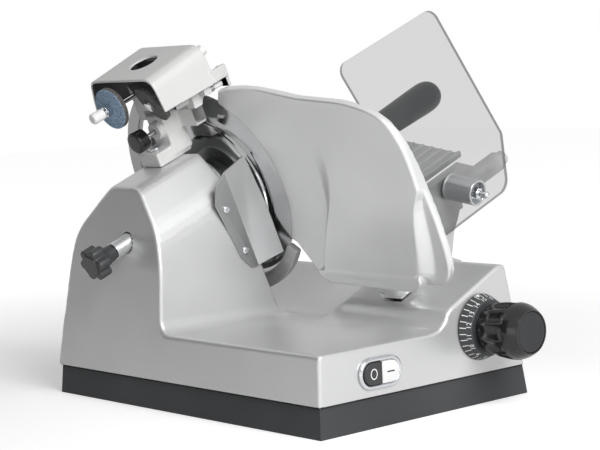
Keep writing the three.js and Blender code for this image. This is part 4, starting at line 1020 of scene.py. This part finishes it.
def knob_shape(rows=70, columns=264):
    """Radius along the length, less flutes whose depth fades out near both ends."""
    share = np.linspace(0, 1, rows)
    radius = np.interp(share, KNOB_SHARES, KNOB_RADII)
    kernel = np.hanning(9)
    radius[4:-4] = np.convolve(radius, kernel / kernel.sum(), mode="valid")
    depth = FLUTE_DEPTH * np.clip(share / FLUTE_RISE, 0, 1)
    depth *= np.sqrt(np.clip((FLUTE_END - share) / FLUTE_FADE, 0, 1))
    angle = np.linspace(0, 2 * np.pi, columns, endpoint=False)
    wave = 0.5 - 0.5 * np.cos(KNOB_FLUTES * angle)
    cut = depth[:, None] * wave**0.9
    r = radius[:, None] - cut
    y = KNOB_BACK - share * KNOB_LENGTH
    across = KNOB_X + r * np.cos(angle)
    upward = KNOB_Z + r * np.sin(angle)
    points = np.stack(np.broadcast_arrays(across, y[:, None], upward), -1).reshape(-1, 3)
    faces = grid_faces(rows, columns, close_columns=True).tolist()
    well = [
        (22.0, KNOB_FRONT - 0.02), (21.0, KNOB_FRONT + 0.3), (20.8, KNOB_FRONT + 1.2),
        (20.8, KNOB_FRONT + 4.2), (0, KNOB_FRONT + 4.2),
    ]
    well_points, well_faces = turned_shape("y", well, KNOB_X, KNOB_Z, columns)
    first = (rows - 1) * columns
    start = len(points)
    this = np.arange(columns)
    following = (this + 1) % columns
    bridge = np.stack([this + first, following + first, following + start, this + start], 1)
    faces += bridge.tolist() + [[i + start for i in face] for face in well_faces]
    faces.append(list(range(columns)))
    return np.concatenate([points, well_points]), faces


piece("knob_grip", *knob_shape(), black_finish, "thickness_dial", ["thickness_knob"], sharp=50)
cap_profile = np.array(
    [(0, 0.5), (16, 0.5), (19.2, 0.2), (20.2, 0.5), (20.5, 1.2), (20.5, 4), (0, 4)]
) + [0, KNOB_FRONT]
turned(
    "knob_end_cap", cap_profile, (KNOB_X, KNOB_Z), cap_finish, "thickness_dial", ["knob_cap"],
    axis="y", axes=MACHINE,
)

# %% Dial
DIAL_RADIUS = 34.2
DIAL_BACK = -1.6
DIAL_RIM = -2.4
DIAL_FRONT = -15.0
DIAL_FRONT_RADIUS = 28.6
DIAL_STEP = 22.5
DIAL_NUMBERS = 16
DIAL_PHASE = 11.0
FIGURE_SIZE = 7.0
FIGURE_SLANT = 10.6
TRIANGLE_DEGREES = 349.0
dial_profile = soften(
    [
        (5.3, DIAL_BACK), (DIAL_RADIUS, DIAL_BACK), (DIAL_RADIUS, DIAL_RIM),
        (DIAL_FRONT_RADIUS, DIAL_FRONT), (5.3, DIAL_FRONT),
    ],
    [0, 0.2, 0.4, 1.0, 0],
)
turned(
    "dial_disc", dial_profile, (KNOB_X, KNOB_Z), dial_finish, "thickness_dial", ["dial_ring"],
    axis="y", segments=128, closed=True, axes=MACHINE,
)


def lettering(text, size):
    """Flat letters as a mesh's points and faces, centred on nought, from Blender's own font."""
    curve = bpy.data.curves.new("letters", "FONT")
    curve.body = text
    curve.size = size
    curve.align_x = "CENTER"
    curve.align_y = "CENTER"
    curve.extrude = 0.06
    curve.resolution_u = 3
    letters = bpy.data.objects.new("letters", curve)
    bpy.context.collection.objects.link(letters)
    bpy.context.view_layer.update()
    mesh = bpy.data.meshes.new_from_object(letters.evaluated_get(bpy.context.evaluated_depsgraph_get()))
    points = read_rows(mesh.vertices, "co")
    faces = [list(face.vertices) for face in mesh.polygons]
    bpy.data.objects.remove(letters)
    bpy.data.curves.remove(curve)
    bpy.data.meshes.remove(mesh)
    return points, faces


def on_dial(points, degrees, slant):
    """Flat points laid on the dial's cone, tops to the rim, at a way down its slope."""
    way = np.array([DIAL_FRONT_RADIUS - DIAL_RADIUS, DIAL_FRONT - DIAL_RIM])
    way /= np.linalg.norm(way)
    turn_by = np.radians(degrees)
    x = points[:, 0]
    down = slant - points[:, 1]
    out = points[:, 2]
    r = DIAL_RADIUS + way[0] * down - way[1] * out
    y = DIAL_RIM + way[1] * down + way[0] * out
    bend = turn_by + x / r
    return np.stack([KNOB_X + r * np.sin(bend), y, KNOB_Z + r * np.cos(bend)], 1)


def dial_marks():
    """Numbers with two long ticks to each, and a white triangle beside the last one."""
    shapes = []
    for number in range(DIAL_NUMBERS):
        points, faces = lettering(str(number), FIGURE_SIZE)
        shapes.append((on_dial(points, number * DIAL_STEP + DIAL_PHASE, FIGURE_SLANT), faces))
    for half in range(2 * DIAL_NUMBERS):
        tick = np.array([(-0.4, -7.6), (0.4, -7.6), (0.4, -0.6), (-0.4, -0.6)])
        points, faces = slab_shape("z", tick, -0.06, 0.06, 0.01, steps=2)
        shapes.append((on_dial(points, (half + 0.5) * DIAL_STEP / 2 + DIAL_PHASE, 0.0), faces))
    triangle = np.array([(-2.6, -0.5), (0, -5.0), (2.6, -0.5)])
    points, faces = slab_shape("z", triangle, -0.06, 0.08, 0.01, steps=2)
    shapes.append((on_dial(points, TRIANGLE_DEGREES, 0.0), faces))
    return together(*shapes)


piece("dial_figures", *dial_marks(), mark_finish, "thickness_dial")
print("dial numbers:", DIAL_NUMBERS)

# %% [markdown]
# ## Gauge plate
# The gauge plate is a casting like a big shield. Its flat side guides the meat and has shallow
# ribs, and its other side swells into a smooth panel that is thick below and fades out above.
# Two outlines give the foot and the crown of that swelling, and the height between them is a
# smooth share. A thick foot below reaches back to the plate's carrier.

# %% Gauge outlines
GAUGE_RIM = [
    (236.9, 270.5), (222.4, 273), (197.8, 273.6), (172, 271.3), (118.9, 260.6), (62.8, 255.2),
    (47.1, 252.2), (24.9, 245.4), (8.1, 236.6), (-3.6, 222.6), (-11.7, 203.3), (-16.3, 181.8),
    (-19.5, 150.4), (-21.4, 128.5), (-21.5, 95.2), (-19, 72), (-14, 60.4), (-5, 53), (10, 50.3),
    (163.2, 50.1), (177, 53), (197, 90),
]
GAUGE_ARC_RADIUS = 112.2


def about_shaft(radius, angle):
    """Flat points at a radius and an angle round the blade's shaft."""
    return np.stack([BLADE_Y + radius * np.cos(angle), BLADE_M + radius * np.sin(angle)], 1)


arc_start = np.arctan2(90 - BLADE_M, 197 - BLADE_Y) + 2 * np.pi
arc_end = np.arctan2(270.5 - BLADE_M, 236.9 - BLADE_Y)
arc_angle = np.linspace(arc_start, arc_end, 40)
gauge_arc = about_shaft(GAUGE_ARC_RADIUS, arc_angle)
GAUGE_OUTLINE = np.concatenate([soften(GAUGE_RIM, 9.0, steps=4, closed=False), gauge_arc])
PANEL_FOOT = soften(
    [
        (168, 56), (141, 109), (126, 144), (124, 185), (130, 228), (140, 280), (40, 285), (-40, 250),
        (-38, 182), (-12, 150), (-9, 120), (-6, 91), (0, 64), (8, 52), (150, 52),
    ],
    12.0,
    steps=3,
)
PANEL_CROWN = soften(
    [
        (155, 65), (141, 90), (129, 114), (116, 135), (108, 150), (98, 175), (90, 200), (82, 235),
        (76, 270), (40, 275), (-32, 245), (-30, 185), (-4, 140), (5, 108), (10, 92), (21, 65), (60, 60),
    ],
    10.0,
    steps=3,
)
PANEL_HEIGHT = 11.5
RIB_STEP = 11.5
RIB_DEPTH = 0.45
RIB_START_M = 56.0
PLATE_THICKNESS = 8.0
BACK_STEEPNESS = 0.75
PANEL_FULL_M = 100.0
PANEL_FADE_M = 150.0
FOOT_OUTLINE = soften(
    [(163, 66), (163, 60), (152, 51.5), (138.5, 51), (24.5, 47.8), (16, 58), (16, 66)],
    [0, 2, 4, 4, 4, 3, 0],
)
print("gauge outline:", len(GAUGE_OUTLINE), "points")


# %% Gauge plate
def gauge_field(k, y, m):
    """A plate, a panel whose height follows the share between two outlines, and a foot."""
    foot_away = polygon_field(y, m, PANEL_FOOT)
    crown_away = polygon_field(y, m, PANEL_CROWN)
    share = np.clip(-foot_away / np.maximum(-foot_away + np.maximum(crown_away, 0), 0.01), 0, 1)
    share = share * share * (3 - 2 * share)
    climb = np.clip((m - PANEL_FULL_M) / PANEL_FADE_M, 0, 1)
    swell = PANEL_HEIGHT * share * (1 - climb * climb * (3 - 2 * climb))
    rim = polygon_field(y, m, GAUGE_OUTLINE)
    ribs = RIB_DEPTH * (0.5 - 0.5 * np.cos(2 * np.pi * m / RIB_STEP))
    front = k - BLADE_K + ribs * np.clip((m - RIB_START_M) / 8, 0, 1)
    back = (BLADE_K - PLATE_THICKNESS - swell - k) * BACK_STEEPNESS
    plate = round_meet(round_meet(rim, back, 3.0), front, 1.0)
    foot = round_meet(polygon_field(y, m, FOOT_OUTLINE), np.abs(k - 205.75) - 10.25, 2.0)
    return fillet_join(plate, foot, 2.5)


# The gauge plate wears the lighter copy of the cast aluminium: painted light.
casting(
    "gauge_shield", gauge_field, (192, -25, 31), (218, 241, 277), 1.55, gauge_painted_light_finish, "gauge",
    ["gauge_plate"], INCLINED,
)

# %% [markdown]
# ## Blade
# The blade is a dished steel disc. From the tray side one sees its dark hub, the polished back
# of its rim and the ground bevel that ends in the edge. It is a profile turned about the shaft,
# and its small steps are what give the rings of light and dark. The turning marks run round the
# shaft, so each point carries that way for the shader's stretched reflections.

# %% Blade
blade_profile = [
    (14, 206.0), (70, 206.0), (78, 206.2), (79.5, 206.9), (80.5, 208.6), (81.5, 209.0), (88, 209.0),
    (89.2, 209.3), (96, 211.4), (103, 213.6), (104, 213.9), (110, 215.8), (110, 216.3), (104, 216.1),
    (86, 215.0), (83, 210.0), (14, 210.0),
]
blade = turned(
    "blade_disc", blade_profile, (BLADE_Y, BLADE_M), blade_finish, "blade_assembly", ["blade"],
    segments=360, closed=True, sharp=20,
)
centre = to_row([[0.0, BLADE_Y, BLADE_M]], INCLINED)[0]
around = np.cross(SHAFT_WAY, read_rows(blade.data.vertices, "co") - centre)
around /= np.linalg.norm(around, axis=1)[:, None]
blade.data.attributes.new("around", "FLOAT_VECTOR", "POINT").data.foreach_set("vector", around.ravel())
cover_profile = soften(
    [(0, 213.6), (81, 213.6), (81, 216.4), (0, 216.4)], [0, 0.3, 1.2, 0], closed=False
)
turned(
    "blade_cover_plate", cover_profile, (BLADE_Y, BLADE_M), machined_finish, "base", ["blade_cover"],
    segments=192,
)
for number in (1, 2, 3):
    dress("blade_screw_" + str(number), steel_finish, "blade_assembly", 0.3)

# %% Ring guard and deflector
RING_Y = BLADE_Y + 6.0
RING_OUTER = 131.0
RING_MIDDLE = 124.0
RING_INNER = 115.8
RING_K = 209.5
RING_THICKNESS = 9.0
RING_MIDDLE_ANGLE = 319.0
RING_HALF_ANGLE = 103.0
LUG_ANGLES = (255, 318)


def ring_guard_field(k, y, m):
    """A flat band between two circles and two angles, with two lugs that reach to the tower."""
    outer = np.hypot(y - RING_Y, m - BLADE_M) - RING_OUTER
    inner = RING_INNER - np.hypot(y - BLADE_Y - 2.5, m - BLADE_M - 3.0)
    band = np.maximum(outer, inner)
    angle = np.degrees(np.arctan2(m - BLADE_M, y - RING_Y)) % 360
    past = np.where(angle < 140, angle + 360, angle)
    ends = np.radians(np.abs(past - RING_MIDDLE_ANGLE) - RING_HALF_ANGLE) * RING_MIDDLE
    flats = np.abs(k - RING_K) - RING_THICKNESS / 2
    ring = round_meet(round_meet(band, flats, 1.2), ends, 2.0)
    for degrees in LUG_ANGLES:
        centre_y = RING_Y + RING_MIDDLE * np.cos(np.radians(degrees))
        centre_m = BLADE_M + RING_MIDDLE * np.sin(np.radians(degrees))
        ring = fillet_join(ring, rod_field(k, y, m, 188.3, 207, centre_y, centre_m, 5.0), 2.0)
    return ring


# The ring guard wears the darker copy of the cast aluminium: painted shade.
casting(
    "blade_ring", ring_guard_field, (185, 170, 22), (216, 440, 292), 1.6, ring_painted_shade_finish, "base",
    ["ring_guard"], INCLINED,
)
dress("deflector", sheet_finish, "base", 0.5)
for number in (1, 2):
    dress("deflector_screw_" + str(number), steel_finish, "base", 0.4)

# %% [markdown]
# ## Star knob
# The star knob on the left tightens the tie rod that holds the blade cover. It is a six-lobed
# moulding with a rounded rim and a cone that leads to a metal sleeve.

# %% Star knob
lobe_angle = np.linspace(0, 2 * np.pi, 180, endpoint=False)
lobe_radius = 16.4 + 2.4 * np.cos(6 * lobe_angle) - 0.5 * np.cos(12 * lobe_angle)
star_outline = about_shaft(lobe_radius, lobe_angle)
star_face = [(0, 19.5), (11.4, 19.5), (12, 20.0), (12, 22.5), (0, 22.5)]
star_cone = soften([(0, 36), (13, 36), (9.4, 41), (8.5, 52), (0, 52)], [0, 1, 3, 0.8, 0], closed=False)
piece(
    "star_grip",
    *together(
        slab_shape("x", star_outline, 21, 37, 2.2, steps=6),
        turned_shape("x", star_face, BLADE_Y, BLADE_M, 64),
        turned_shape("x", star_cone, BLADE_Y, BLADE_M, 64),
    ),
    soft_black_finish,
    "tie_knob",
    ["star_knob"],
    INCLINED,
)
dress("tie_sleeve", machined_finish, "base", 0.6)

# %% [markdown]
# ## Sharpener
# The sharpener is a small painted casting on a post. Its cover is a bent hood with a finger
# hole, open at the front and dark inside with painted shade, and under it sit a blue grinding
# stone and a dark honing stone, each on a spindle with a white push button. The hood and the
# bracket are drawn from fields, and rules on the faces' places and ways give the hood's inside
# and the head's faces under it a near-black second finish, which is painted shade.

# %% Sharpener castings
POST_SPOT = (178.0, 300.0)
CLAMP_SPOT = (300.0, 246.5)
PIN_SPOT = (245.5, 273.5)
STONE_SPOT = (317.0, 288.0)
HONE_PLACE = (150.0, 272.5, 284.0)
HOOD_RISE = 0.084
HOOD_START = 136.5
HOOD_LENGTH = 75.5
HOOD_FOOT_M = 279.3
FINGER_HOLE = (175.0, 297.0)
FINGER_HOLE_RADIUS = 15.5
COVER_OUTER = soften(
    [
        (234.3, 268), (238.6, 293), (240.6, 305), (243.6, 312), (250, 316.4), (258, 317), (340, 317),
        (347, 315.5), (350.6, 311), (352.4, 304), (355.6, 293), (359.8, 268),
    ],
    [0, 4, 3, 3, 3, 3, 3, 3, 3, 3, 4, 0],
)
COVER_INNER = soften(
    [
        (237.2, 266), (241.6, 293), (243.5, 304.2), (246, 310), (251, 313.5), (258, 314), (340, 314),
        (345.6, 312.8), (347.8, 309.4), (349.4, 303.4), (352.5, 292.6), (357, 266),
    ],
    [0, 4, 3, 3, 3, 3, 3, 2, 2, 3, 4, 0],
)


def hood_level(k, m):
    """The height a point has in the hood's outlines, which rise along the shaft."""
    return m - HOOD_RISE * (k - HOOD_START)


def cover_field(k, y, m):
    """A bent hood between two outlines that rise along the shaft, a finger hole and a leg."""
    level = hood_level(k, m)
    hood = round_meet(polygon_field(y, level, COVER_OUTER), -polygon_field(y, level, COVER_INNER), 1.0)
    hood = round_meet(hood, np.abs(k - HOOD_START - HOOD_LENGTH / 2) - HOOD_LENGTH / 2, 1.2)
    hood = np.maximum(hood, HOOD_FOOT_M - m)
    arm = box_field(k, y, m, (209, 235.4, HOOD_FOOT_M), (230, 239.9, 293), 1.0)
    leg = box_field(k, y, m, (226, 236.5, 268), (230, 249, 291), 1.0)
    joined = fillet_join(hood, fillet_join(arm, leg, 1.0), 1.5)
    return round_meet(joined, -rod_field(m, k, y, 300, 345, *FINGER_HOLE, FINGER_HOLE_RADIUS), 1.2)


# Picks the hood's faces that get painted shade.
def inside_hood(spots, ways):
    """Faces nearer to the inner outline than half a sheet, and not on the hood's rims."""
    level = hood_level(spots[:, 0], spots[:, 2])
    near = np.abs(polygon_field(spots[:, 1], level, COVER_INNER)) < 0.9
    return near & (np.abs(ways[:, 0]) < 0.75) & (spots[:, 0] < 211.5)


hood = casting(
    "sharpener_hood", cover_field, (134, 231, 266), (233, 360, 326), 1.0, painted_finish, "sharpener",
    ["sharpener_cover"], INCLINED,
)
# The hood's inside takes painted shade: a near-black finish where the hood's own shadow falls.
second_finish(hood, painted_shade_finish, inside_hood, INCLINED)
head = dress("sharpener_head", painted_finish, "sharpener", 1.0)


# Picks the head's faces under the hood that get painted shade.
def shaded_head(spots, ways):
    """The head's faces under the hood that look along the shaft or up."""
    return (spots[:, 2] > 284) & ((ways[:, 0] < -0.6) | (ways[:, 2] > 0.6))


# The head's faces under the hood take the same painted shade.
second_finish(head, painted_shade_finish, shaded_head, INCLINED)


def bracket_field(k, y, m):
    """A flat foot, an upright, a clamp boss, an ear and a post, joined with fillets."""
    body = fillet_join(
        box_field(k, y, m, (143, 290, 211.3), (190, 324, 227), 2.0),
        box_field(k, y, m, (165, 288, 216), (192, 316, 262), 2.0),
        4.0,
    )
    body = fillet_join(body, rod_field(k, y, m, 158, 170, *CLAMP_SPOT, 10, 0.8), 2.5)
    ear = polygon_field(y, m, [(292, 240), (262, 240), (252, 261), (292, 261)])
    ear = round_meet(ear, np.abs(k - 193.5) - 7.5, 1.2)
    body = fillet_join(body, ear, 3.0)
    body = fillet_join(body, rod_field(m, k, y, 250, 286, *POST_SPOT, 8.0, 0.8), 2.0)
    body = np.maximum(body, -rod_field(k, y, m, 150, 176, *CLAMP_SPOT, 2.9))
    return np.maximum(body, -rod_field(m, k, y, 215, 240, 155, 307, 3.4))


casting(
    "sharpener_stand", bracket_field, (140, 260, 209), (206, 328, 289), 1.1, painted_finish, "base",
    ["sharpener_bracket"], INCLINED,
)
dress("eccentric_screw", steel_finish, "base", 0.4)

# %% Sharpener stones, spindles and screw knob
stone_profile = soften([(3.3, 127), (23, 127), (23, 133), (3.3, 133)], [0, 0.9, 0.9, 0])
stone = turned(
    "grinding_stone", stone_profile, STONE_SPOT, grit_finish, "grind_stone", ["grinding_wheel"],
    closed=True,
)


def stone_back(spots, ways):
    """The far side of the stone and its rim, which are a dark bonded disc."""
    return (spots[:, 0] > 127.9) | (np.abs(ways[:, 0]) < 0.5)


second_finish(stone, hone_finish, stone_back, INCLINED)
hone_way = np.array([0.908, -0.22, 0.359])
hone_way /= np.linalg.norm(hone_way)
turn_axis = np.cross([1, 0, 0], hone_way)
hone_turn = Matrix.Rotation(np.arccos(hone_way[0]), 3, Vector(turn_axis))
HONE_AXES = np.array(hone_turn).T


def along_hone(points):
    """Points about the x axis turned onto the honing spindle and moved to its stone."""
    return np.asarray(points) @ HONE_AXES + HONE_PLACE


hone_profile = soften([(3.3, -3), (23, -3), (23, 3), (3.3, 3)], [0, 0.9, 0.9, 0])
hone_points, hone_faces = turned_shape("x", hone_profile, 0, 0, 96, closed=True)
hone_spots = along_hone(hone_points)
piece("honing_stone", hone_spots, hone_faces, hone_finish, "hone_stone", ["honing_wheel"], INCLINED)
dress("grind_shaft", steel_finish, "grind_spindle", 0.4)
dress("hone_shaft", machined_finish, "hone_spindle", 0.4)
dress("grind_button", white_finish, "grind_spindle", 0.5)
dress("hone_button", white_finish, "hone_spindle", 0.5)
clamp_cap = soften(
    [(0, 128), (9, 128), (9.4, 128.3), (11, 128.6), (12, 129.6), (12, 141.5), (0, 141.5)],
    [0, 0.2, 0.2, 0.8, 0.8, 0.6, 0],
    closed=False,
)
clamp_stem = [(0, 141), (2.5, 141), (2.5, 174), (0, 174)]
turned("screw_knob", clamp_cap, CLAMP_SPOT, black_finish, "clamp", ["clamp_knob"])
turned("screw_stem", clamp_stem, CLAMP_SPOT, steel_finish, "clamp", segments=48)
pin_profile = soften([(0, 203), (3.2, 203), (3.2, 223.5), (0, 223.5)], [0, 0, 0.8, 0], closed=False)
pin_collar = [(0, 202.5), (4.2, 202.5), (4.2, 210.5), (0, 210.5)]
turned("stop_pin", pin_profile, PIN_SPOT, white_finish, "sharpener", segments=48)
turned("stop_pin_collar", pin_collar, PIN_SPOT, steel_finish, "sharpener", segments=48)

# %% [markdown]
# ## Carriage
# The carriage slides along a rod inside the base. Its arm reaches round the block to a tray with
# ribs, a bar that guides the pusher, and a clear guard for the operator's hand.

# %% Carriage arm and tray
dress("carriage_arm", cast_finish, "carriage", 1.6, segments=3)
dress("product_tray", cast_finish, "carriage", 0.6)
dress("pusher_bar", cast_finish, "carriage", 0.8)
dress("pusher_collar", cast_finish, "pusher", 0.8)
dress("pusher_plate", cast_finish, "pusher", 0.8)

# %% [markdown]
# ## Handle
# The pusher handle is a turned plastic grip that widens towards a round end. A profile turned
# about its axis gives the form, and the finish adds the fine rings of turning.

# %% Handle
HANDLE_SPOT = (170.0, 142.5)
handle_profile = soften(
    [
        (0, 306.3), (15, 306.3), (15, 330), (17, 392), (17, 402), (15.6, 409.5), (12.2, 415),
        (6.6, 418.2), (0, 419),
    ],
    [0, 1.5, 10, 8, 6, 5, 5, 5, 0],
    closed=False,
)
turned(
    "handle_grip", handle_profile, HANDLE_SPOT, grip_finish, "pusher", ["pusher_handle"], axes=TILTED
)

# %% [markdown]
# ## Clear hand guard
# The guard is a clear sheet with one fold and four rounded corners. It is a grid across the
# width and along the unfolded height: near each end the width shrinks by a circle, and the fold
# is a short arc. A Solidify modifier gives the sheet its 4 mm, and its rim has its own finish.

# %% Guard
GUARD_V = 102.5
GUARD_BOTTOM_W = 24.0
GUARD_FOLD_W = 92.0
GUARD_LEAN = np.radians(28.5)
GUARD_HEIGHT = 158.0
GUARD_CORNER = 13.0
FOLD_RADIUS = 9.0


def guard_sheet(columns=14):
    """Unfolded height and width to a folded sheet: straight, a short arc, then straight."""
    straight = GUARD_FOLD_W - GUARD_BOTTOM_W - FOLD_RADIUS * np.tan(GUARD_LEAN / 2)
    total = straight + FOLD_RADIUS * GUARD_LEAN + GUARD_HEIGHT - FOLD_RADIUS * np.tan(GUARD_LEAN / 2)
    corner_rows = np.sin(np.linspace(0, np.pi / 2, 12)) ** 2 * GUARD_CORNER
    fold_rows = straight + FOLD_RADIUS * GUARD_LEAN * np.linspace(0, 1, 9)
    flat_rows = np.linspace(GUARD_CORNER, straight, 8)
    foot_rows = np.linspace(fold_rows[-1], total - GUARD_CORNER, 14)
    s = np.unique(np.concatenate([corner_rows, flat_rows, fold_rows, foot_rows, total - corner_rows]))
    near = np.minimum(np.minimum(s, total - s), GUARD_CORNER)
    shrink = GUARD_CORNER - np.sqrt(np.maximum(GUARD_CORNER**2 - (GUARD_CORNER - near) ** 2, 0))
    left = 285 + shrink
    right = np.interp(s, [0, straight, total], [437, 440, 443]) - shrink
    t = np.linspace(0, 1, columns)
    k = left[:, None] + (right - left)[:, None] * t
    bend = np.clip((s - straight) / FOLD_RADIUS, 0, GUARD_LEAN)
    beyond = np.maximum(s - straight - FOLD_RADIUS * GUARD_LEAN, 0)
    v = GUARD_V + FOLD_RADIUS * (1 - np.cos(bend)) + beyond * np.sin(GUARD_LEAN)
    w = GUARD_BOTTOM_W + np.minimum(s, straight)
    w = w + FOLD_RADIUS * np.sin(bend) + beyond * np.cos(GUARD_LEAN)
    points = np.stack(np.broadcast_arrays(k, v[:, None], w[:, None]), -1)
    return points.reshape(-1, 3), grid_faces(len(s), columns)


GUARD_THICKNESS = 0.004
guard = piece("guard_sheet", *guard_sheet(), clear_finish, "carriage", ["hand_guard"], TILTED, 60)
guard.data.materials.append(clear_edge_finish)
thicken = guard.modifiers.new("thickness", "SOLIDIFY")
thicken.thickness = GUARD_THICKNESS
thicken.offset = 0.0
thicken.material_offset_rim = 1
rim_bevel = guard.modifiers.new("rim", "BEVEL")
rim_bevel.width = 0.0007
rim_bevel.segments = 2
rim_bevel.limit_method = "ANGLE"
rim_bevel.angle_limit = np.radians(60)

# %% Boss and stud
dress("stud_boss", boss_finish, "carriage", 0.8, segments=3)
dress("guard_stud", steel_finish, "carriage", 0.3)
